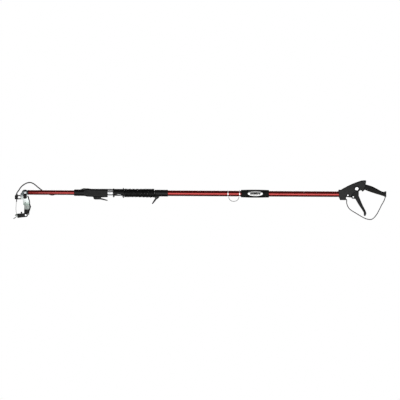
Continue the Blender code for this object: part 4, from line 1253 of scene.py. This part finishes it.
def bail_points(ends, eye_z, drop):
    low, high = ends
    middle = (low + high) / 2
    half = (high - low) / 2 - 0.0065
    hang = [
        (
            middle - half * math.cos(math.pi * i / 24),
            eye_z - 0.003 - drop * math.sin(math.pi * i / 24),
        )
        for i in range(25)
    ]
    flat = [(low - 0.0020, eye_z), (low + 0.0035, eye_z)]
    back = [(high - 0.0035, eye_z), (high + 0.0020, eye_z)]
    return [Vector((x, 0, z)) for x, z in flat + hang + back]


def make_hose_clip():
    for name, x in zip(("front", "rear"), CLIP_AT):
        ends = (x - 0.003, x + 0.003)
        outer = OUTER_R + 0.0018
        band = [
            (ends[0], OUTER_R + GAP), (ends[0], outer), (ends[0] + 0.0007, outer + 0.0004),
            (ends[1] - 0.0007, outer + 0.0004), (ends[1], outer), (ends[1], OUTER_R + GAP),
        ]
        made = lathe(
            f"clip_band_{name}", band, "bright", "handle", f"hose_clip_band_{name}", sides=96,
            edge=0.0002,
        )
        lug = [
            (-0.0032, -0.0180), (-0.0032, CLIP_EYE_Z),
            *arc((0, CLIP_EYE_Z), 0.0034, 180, 360, 12), (0.0032, -0.0180),
        ]
        join(made, prism(lug, *ends, "X"))
        hole = rod((x - 0.01, 0, CLIP_EYE_Z), (x + 0.01, 0, CLIP_EYE_Z), BAIL_R + GAP, 24)
        cut(made, box((x - 0.01, 0.010, -0.0075), (x + 0.01, 0.030, 0.0075)), hole)
        slots = bmesh.new()
        for k in range(44):
            angle = math.radians(35 + 290 * k / 43)
            across = Matrix.Rotation(angle, 4, "X")
            slot = box(
                (x - 0.0018, outer + 0.0002, -0.00035), (x + 0.0018, outer + 0.0006, 0.00035)
            )
            bmesh.ops.transform(slot, matrix=across, verts=slot.verts)
            merge(slots, slot)
        solid(f"clip_band_{name}_thread", slots, "bright", "handle")
    points = bail_points(CLIP_AT, CLIP_EYE_Z, 0.0230)
    solid(
        "hose_clip_ring", tube_mesh(points, BAIL_R, 16), "bail", "clip_bail", "hose_clip_bail", 50
    )


def lock_cutters(pin, slot_top, slot_ends):
    return (
        box((pin.x - 0.0083, -0.0064, slot_top - 0.001), (pin.x + 0.0083, 0.0064, -0.0120)),
        box((slot_ends[0], -CHEEK_IN, -0.070), (slot_ends[1], CHEEK_IN, slot_top)),
        cross_hole(pin, 0.0025),
    )


def make_lock_hardware(name, pin, pad_ends, body):
    reach = CHEEK_OUT + 0.001
    profile = [(-reach, 0), (-reach, 0.0022), (reach, 0.0022), (reach, 0)]
    lathe(
        f"{name}_pin_rod", profile, "bail", body, f"{name}_pin", (pin.x, 0, pin.z), (0, 1, 0), 32,
        0.0005,
    )
    pad = box((pin.x - 0.0080, -0.0060, pad_ends[0]), (pin.x + 0.0080, 0.0060, pad_ends[1]))
    soften(solid(f"{name}_pad_block", pad, "rubber", body, f"{name}_pad"), 0.0005, 2)


def make_lock_lever(name, pin, angle, length, root, tip, body):
    """A flip lever with a round cam on its pin and grip ridges near its end."""
    along = Vector((math.cos(math.radians(angle)), math.sin(math.radians(angle))))
    side = Vector((-along.y, along.x))
    centre = Vector((pin.x, pin.z))

    def at(distance, width):
        return tuple(centre + along * distance + side * width)

    outline = [
        *arc(pin, 0.006, angle + 62, angle + 298, 28),
        at(length * 0.30, -root),
        at(length * 0.60, -(root + tip) / 2.1),
        at(length * 0.85, -tip),
        at(length * 0.96, -tip * 0.9),
        at(length, -tip * 0.45),
        at(length, tip * 0.45),
        at(length * 0.96, tip * 0.9),
        at(length * 0.85, tip),
        at(length * 0.60, (root + tip) / 2.1),
        at(length * 0.30, root),
    ]
    shape = rounded_prism(outline, -0.0072, 0.0072, 0.0012, 3)
    made = solid(f"{name}_flap", shape, "plastic", body, name)
    for k in range(5):
        start = length * (0.62 + 0.07 * k)
        for sign in (-1, 1):
            reach = tip + (root - tip) * max(0, 0.85 - start / length) / 0.55 - 0.0006
            ends = (start, start + 0.0012)
            inner = [at(end, sign * reach) for end in ends]
            outer = [at(end, sign * 0.009) for end in ends]
            groove = [inner[0], *outer, inner[1]]
            cut(made, prism(groove, -0.0056, 0.0056))
    cut(made, cross_hole(pin, 0.0025))


def make_lower_lock():
    profile = [
        (-0.6130, 0.0198), (-0.6115, 0.0207), (-0.5360, 0.0207), (-0.5340, 0.0193),
        (-0.5340, OUTER_R + GAP), (OUTER_ENDS[0] - GAP, OUTER_R + GAP),
        (OUTER_ENDS[0] - GAP, MIDDLE_R + GAP), (-0.6130, MIDDLE_R + GAP),
    ]
    collar = lathe(
        "lower_lock_body", profile, "plastic", "handle", "lower_lock_collar", sides=96,
        edge=0.0005,
    )
    cheek = [
        (-0.6150, -0.0166), (-0.6150, -0.0260),
        *arc(LOWER_PIN, 0.0095, 215, 325, 12),
        (-0.5880, -0.0260), (-0.5850, -0.0166),
    ]
    join(collar, rounded_prism(cheek, -CHEEK_OUT, CHEEK_OUT, 0.0012, 3))
    cut(collar, rod((-0.640, 0, 0), (OUTER_ENDS[0] - GAP, 0, 0), MIDDLE_R + GAP, 96))
    cut(collar, *lock_cutters(LOWER_PIN, -0.0212, (-0.650, -0.570)))
    ring_grooves(collar, [-0.5745 + 0.0125 * k for k in range(3)], 0.0016, 0.0203, 0.0215)
    make_lock_hardware("lower_lock", LOWER_PIN, (-0.0211, -MIDDLE_R - 0.0004), "handle")
    make_lock_lever("lower_lock_lever", LOWER_PIN, -125, 0.0475, 0.0058, 0.0036, "lower_lever")


def make_wiper():
    """A soft ring at the collar's mouth that wipes the middle tube."""
    profile = [
        (-0.6158, 0.0184), (-0.6132, 0.0190), (-0.6132, MIDDLE_R + GAP),
        (-0.6158, MIDDLE_R + GAP),
    ]
    lathe("lower_lock_wiper", profile, "rubber", "handle", edge=0.0003)


def make_upper_lock():
    half = 0.0210
    crown = flat_curve(
        (
            (-1.0500, 0.0195), (-1.0400, 0.0240), (-1.0297, 0.0272), (-1.0050, 0.0243),
            (-0.9500, 0.0225),
        ),
        4,
    )
    outline = [
        *crown, (-0.9038, 0.0215), (-0.9038, -0.0265), (-0.9450, -0.0285), (-1.0297, -0.0240),
        (-1.0500, -0.0190),
    ]

    def at_end(a, b):
        return min(a.x, b.x) > -0.9039 or max(a.x, b.x) < -1.0499

    shape = rounded_prism(outline, -half, half, 0.0100, 8, kept=at_end)
    body = solid("upper_lock_shell", shape, "plastic", "middle", "upper_lock_body")
    nose = [(-1.1095, 0), (-1.1095, 0.0185), (-1.1080, 0.0200), (-1.0300, 0.0200), (-1.0300, 0)]
    cheek = [
        (-0.9935, -0.0220), (-0.9900, -0.0370), (-0.9830, -0.0415), (-0.9530, -0.0415),
        (-0.9470, -0.0370), (-0.9440, -0.0220),
    ]
    cheeks = rounded_prism(rounded(cheek, 0.003, 4), -CHEEK_OUT, CHEEK_OUT, 0.0012, 3)
    join(body, turned(nose, sides=96), cheeks)
    cut(
        body,
        rod((-1.120, 0, 0), (-0.940, 0, 0), TOP_R + GAP, 96),
        rod((MIDDLE_ENDS[0] - GAP, 0, 0), (-0.890, 0, 0), MIDDLE_R + GAP, 96),
        box((-1.060, -0.0039, 0.0170), (-0.890, 0.0039, 0.040)),
        box((-1.065, -0.0035, 0.0182), (-1.0300, 0.0300, 0.041)),
        *lock_cutters(UPPER_PIN, -0.0248, (-1.000, -0.930)),
    )
    for side in (-1, 1):
        for z in (-0.0110, 0.0, 0.0110):
            groove = oblong(-1.0200, z - 0.0011, -0.9180, z + 0.0011)
            sunk = on_side(side, half - 0.0008, half + CUT_CLEAR)
            cut(body, prism(rounded(groove, 0.0011, 3), *sunk))
    ring_grooves(body, [-1.0960 + 0.0085 * k for k in range(4)], 0.0018, 0.0192, 0.0210)
    make_lock_hardware("upper_lock", UPPER_PIN, (-0.0246, -TOP_R - 0.0004), "middle")
    make_lock_lever("upper_lock_lever", UPPER_PIN, -14, 0.0660, 0.0052, 0.0034, "upper_lever")


def make_coil_stop():
    low, high = STOP_AT
    thick = 0.003
    profile = [
        (low - thick, 0.0262), (low - thick + 0.001, 0.0276), (low + thick, 0.0276),
        (low + thick, STOP_SLEEVE_R), (high - thick, STOP_SLEEVE_R), (high - thick, 0.0310),
        (high + thick - 0.001, 0.0310), (high + thick, 0.0296), (high + thick, MIDDLE_R + GAP),
        (low - thick, MIDDLE_R + GAP),
    ]
    made = lathe(
        "coil_stop_spool", profile, "plastic", "middle", "coil_stop", sides=96, edge=0.0006
    )
    eyes = rod((low - 0.01, 0, STOP_EYE_Z), (high + 0.01, 0, STOP_EYE_Z), BAIL_R + GAP, 24)
    cut(made, box((low - 0.01, -0.0039, 0.005), (high + 0.01, 0.0039, 0.045)), eyes)
    eye = Vector((0, 0, STOP_EYE_Z))
    fold = Matrix.Rotation(math.radians(STOP_BAIL_TURN), 3, "X")
    points = [fold @ (p - eye) + eye for p in bail_points(STOP_AT, STOP_EYE_Z, 0.0225)]
    solid(
        "coil_stop_ring", tube_mesh(points, BAIL_R, 16), "bright", "stop_bail", "coil_stop_bail",
        50,
    )


# ---------------------------------------------------------------- head

STRAP_LINE = (
    (-1.3930, -0.0210), (-1.3850, -0.0490), (-1.3825, -0.0690), (-1.3785, -0.0885),
    (-1.3830, -0.1080), (-1.3868, -0.1220), (-1.3885, -0.1380),
)
STRAP_THICK = 0.005


def strap_x(z):
    for (x0, z0), (x1, z1) in zip(STRAP_LINE, STRAP_LINE[1:]):
        if z0 >= z >= z1:
            return x0 + (x1 - x0) * (z - z0) / (z1 - z0)
    return STRAP_LINE[-1][0]


def beside_strap(z):
    return (strap_x(z) - STRAP_THICK / 2 - 0.0003, z)


def ribbon(line, width):
    points = [Vector((p.x, p.z)) for p in smooth_route([(x, 0, z) for x, z in line], 6)]
    left, right = [], []
    for i, here in enumerate(points):
        ahead = points[min(i + 1, len(points) - 1)] - points[max(i - 1, 0)]
        normal = Vector((-ahead.y, ahead.x)).normalized() * width / 2
        left.append(tuple(here + normal))
        right.append(tuple(here - normal))
    return left + right[::-1]


def make_end_plug():
    ear = [
        *arc(TILT_PIVOT, 0.0200, 180, 48, 24),
        (-1.3930, 0.0120), (-1.3930, -0.0120),
        *arc(TILT_PIVOT, 0.0150, -45, -180, 20),
    ]
    shape = rounded_prism(ear, -EAR_HALF, EAR_HALF, 0.0008, 3)
    plug = solid("pole_end_fitting", shape, "plastic", "top", "pole_end_plug")
    face = TOP_ENDS[0] - GAP
    profile = [
        (face - 0.0055, 0), (face - 0.0055, 0.0135), (face - 0.0040, 0.0150), (face, 0.0150),
        (face, TOP_R - WALL - GAP), (face + 0.0220, TOP_R - WALL - GAP), (face + 0.0220, 0),
    ]
    join(plug, turned(softened_profile(profile, 0.0005), sides=96))
    cut(plug, cross_hole(TILT_PIVOT, 0.0043))
    dish = [*arc(TILT_PIVOT, 0.0175, 172, 60, 16), *arc(TILT_PIVOT, 0.0138, 60, 172, 16)]
    engrave(plug, dish, EAR_HALF, 0.0009)
    cross_bolt(
        "tilt_bolt", TILT_PIVOT, "bright", (0.0060, 0.0028), 0.0040, -PLATE_OUT - GAP, 0.0160,
        "top",
    )
    hexagon_nut(
        "tilt_nut", TILT_PIVOT, 0.0072, 0.0043, (PLATE_OUT + GAP, PLATE_OUT + 0.0050), "bright",
        "top",
    )


def make_head():
    outline = [
        *arc(TILT_PIVOT, 0.0130, 150, -30, 24),
        (-1.3990, -0.0180),
        beside_strap(-0.0490),
        beside_strap(-0.0690),
        beside_strap(-0.0780),
        (-1.4200, -0.0780), (-1.4240, -0.0450), (-1.4380, -0.0410), (-1.4390, -0.0160),
        (-1.4370, -0.0040),
    ]
    for name, low, high in (("front", -PLATE_OUT, -PLATE_IN), ("rear", PLATE_IN, PLATE_OUT)):
        plate = solid(
            f"head_plate_{name}_sheet", prism(outline, low, high), "plate", "head",
            f"head_plate_{name}",
        )
        soften(plate, 0.0005, 3)
        slot = rounded(
            ((-1.4130, -0.0480), (-1.4090, -0.0480), (-1.4060, -0.0680), (-1.4100, -0.0680)),
            0.002, 4,
        )
        cut(
            plate, cross_hole(TILT_PIVOT, 0.0043), cross_hole(KNOB, 0.0033),
            prism(slot, low - 0.01, high + 0.01),
        )
    strap = solid(
        "strap_leg_band", prism(ribbon(STRAP_LINE, STRAP_THICK), -HEAD_HALF, HEAD_HALF),
        "plastic", "head", "strap_leg",
    )
    soften(strap, 0.0008, 3)
    screw_z = -0.0880
    screw_x = strap_x(screw_z) + STRAP_THICK / 2
    cut(strap, rod((screw_x - 0.03, 0, screw_z), (screw_x + 0.02, 0, screw_z), 0.0023, 32))
    jaw = [
        (-1.4160, -0.0620),
        beside_strap(-0.0620),
        beside_strap(-0.0690),
        beside_strap(-0.0885),
        beside_strap(-0.1040),
        (-1.4160, -0.1040),
    ]
    clamp = soften(
        solid("clamp_jaw_block", prism(jaw, -EAR_HALF, EAR_HALF), "zinc", "head", "clamp_jaw"),
        0.0010, 3,
    )
    cut(clamp, rod((screw_x - 0.03, 0, screw_z), (screw_x + 0.02, 0, screw_z), 0.0023, 32))
    for k in range(5):
        z = -0.0830 - 0.0042 * k
        tooth = oblong(-1.4175, z, -1.4150, z - 0.0012)
        cut(clamp, prism(tooth, -0.02, 0.02))
    screw = [
        (0, 0), (0.0006, 0.0019), (0.0185, 0.0019), (0.0185, 0.0042), (0.0205, 0.0042),
        (0.0213, 0.0030), (0.0213, 0),
    ]
    seat = (screw_x - 0.0180, 0, screw_z)
    made = lathe(
        "jaw_screw_seen", screw, "bright", "head", "jaw_screw", seat, sides=40, edge=0.0004
    )
    end = screw_x + 0.0033
    cut(made, box((end - 0.0012, -0.005, screw_z - 0.0005), (end + 0.003, 0.005, screw_z + 0.0005)))
    block = [
        (-1.4160, -0.1044),
        beside_strap(-0.1044),
        beside_strap(-0.1080),
        beside_strap(-0.1220),
        beside_strap(-0.1300),
        *arc(ARM_PIVOT, 0.0100, 25, -205, 24),
        (-1.4160, -0.1300),
    ]
    pivot = solid(
        "pivot_block_body", prism(block, -EAR_HALF, EAR_HALF), "rubber", "head", "pivot_block"
    )
    cut(soften(pivot, 0.0007, 3), cross_hole(ARM_PIVOT, 0.0033))
    cross_bolt(
        "arm_pivot_bolt", ARM_PIVOT, "bright", (0.0058, 0.0024), 0.0030, -HEAD_HALF - GAP, 0.0125,
        "head",
    )


def make_cable_stop():
    outer = oblong(-1.4740, -0.0165, -1.4315, -0.0430)
    eye = oblong(-1.4545, -0.0235, -1.4395, -0.0365)
    stop = solid(
        "cable_stop_frame", prism(rounded(outer, 0.006), -EAR_HALF, EAR_HALF), "plastic", "head",
        "cable_stop",
    )
    cut(stop, prism(rounded(eye, 0.004), -0.02, 0.02))
    soften(stop, 0.0014, 4, 50)
    cut(stop, rod((FERRULE_X, 0, -0.060), (FERRULE_X, 0, 0.0), 0.0045, 32))
    profile = [
        (-0.0470, 0.0042), (-0.0162, 0.0042), (-0.0162, 0.0062), (-0.0090, 0.0056),
        (-0.0090, 0.0043), (-0.0160, 0.0043), (-0.0160, 0.0017), (-0.0470, 0.0017),
    ]
    lathe(
        "sheath_end_cap", profile, "dark", "head", "sheath_ferrule", (FERRULE_X, 0, 0), (0, 0, 1),
        40, 0.0004,
    )


def make_knob():
    """A wing knob with a dished face and grip flutes, on a stud through both plates."""
    corners = oblong(-0.0105, -0.0150, 0.0105, 0.0150)
    outline = [(KNOB.x + x, KNOB.z + z) for x, z in rounded(corners, 0.009, 8)]
    shape = prism(outline, -0.0260, -0.0136)
    knob = solid("clamp_knob_grip", shape, "plastic", "knob", "clamp_knob")
    soften(knob, 0.0024, 4)
    stud = [
        (-0.0200, 0), (-0.0200, 0.0065), (-PLATE_OUT - GAP, 0.0065), (-PLATE_OUT - GAP, 0.0030),
        (0.0130, 0.0030), (0.0130, 0),
    ]
    join(knob, turned(softened_profile(stud, 0.0003), (KNOB.x, 0, KNOB.z), (0, 1, 0), 48))
    dish = [(-0.0280, 0), (-0.0280, 0.0058), (-0.0252, 0.0048), (-0.0250, 0)]
    cut(knob, turned(dish, (KNOB.x, 0, KNOB.z), (0, 1, 0), 48))
    for side in (-1, 1):
        for k in range(5):
            z = KNOB.z - 0.0064 + 0.0032 * k
            x = KNOB.x + side * 0.0111
            cut(knob, rod((x, -0.030, z), (x, -0.0150, z), 0.0011, 12))


def make_arm():
    outline = [
        *arc(ARM_PIVOT, 0.0125, 75, -100, 24),
        (-1.4565, -0.1575), (-1.4565, -0.1310), (-1.4120, -0.1275),
    ]
    shape = rounded_prism(outline, -HEAD_HALF, HEAD_HALF, 0.0016, 4)
    arm = solid("puller_arm_body", shape, "plastic", "arm", "puller_arm")
    peg_x = -1.4330
    cut(
        arm,
        box((-1.4230, -0.0068, -0.170), (-1.380, 0.0068, -0.100)),
        cross_hole(ARM_PIVOT, 0.0033),
        rod((peg_x, 0, -0.1380), (peg_x, 0, -0.1200), 0.0028, 32),
    )
    panel = ((-1.4520, -0.1520), (-1.4520, -0.1370), (-1.4230, -0.1345), (-1.4230, -0.1490))
    engrave(arm, rounded(panel, 0.003), HEAD_HALF, 0.0012)
    peg = [
        (-0.1375, 0), (-0.1375, 0.0025), (-0.1280, 0.0025), (-0.1280, 0.0046), (-0.1215, 0.0046),
        (-0.1190, 0.0028), (-0.1190, 0),
    ]
    lathe("push_peg_stud", peg, "rubber", "arm", "push_peg", (peg_x, 0, 0), (0, 0, 1), 40, 0.0006)
    block = box((-1.4675, -0.0050, -0.1500), (-1.4568, 0.0050, -0.1325))
    clamp = soften(solid("wire_clamp_block", block, "zinc", "arm", "wire_clamp"), 0.0008, 3)
    cut(clamp, rod((-1.4750, 0, -0.1400), (-1.4600, 0, -0.1400), 0.0018, 24))
    screw = [
        (-1.4715, 0), (-1.4715, 0.0034), (-1.4678, 0.0034), (-1.4678, 0.0015), (-1.4610, 0.0015),
        (-1.4610, 0),
    ]
    lathe(
        "wire_clamp_screw_seen", screw, "dark", "arm", "wire_clamp_screw", (0, 0, -0.1400),
        sides=32, edge=0.0004,
    )
    tail = [Vector((-1.4650, 0, -0.1524)), Vector((-1.4815, 0, -0.1620))]
    line = [tail[0] + (tail[1] - tail[0]) * i / 40 for i in range(41)]
    solid("wire_tail_strand", tube_mesh(line, 0.0022, 24, 6, 0.016), "wire", "arm", "wire_tail", 60)


# ---------------------------------------------------------------- assembly

make_camera()
make_stage()
make_cables()
make_tubes()
make_foam()
make_badge()
make_housing()
make_fasteners()
make_rear_grip()
make_end_cap()
make_guard()
make_lever()
make_adjuster()
make_saddle("cable_saddle", 0.300, OUTER_R, CABLE_BACK, 0, "handle")
make_saddle("top_cable_saddle", -1.180, TOP_R, TOP_CABLE_Y, -0.0010, "top")
make_hose_clip()
make_lower_lock()
make_wiper()
make_upper_lock()
make_coil_stop()
make_end_plug()
make_head()
make_cable_stop()
make_knob()
make_arm()
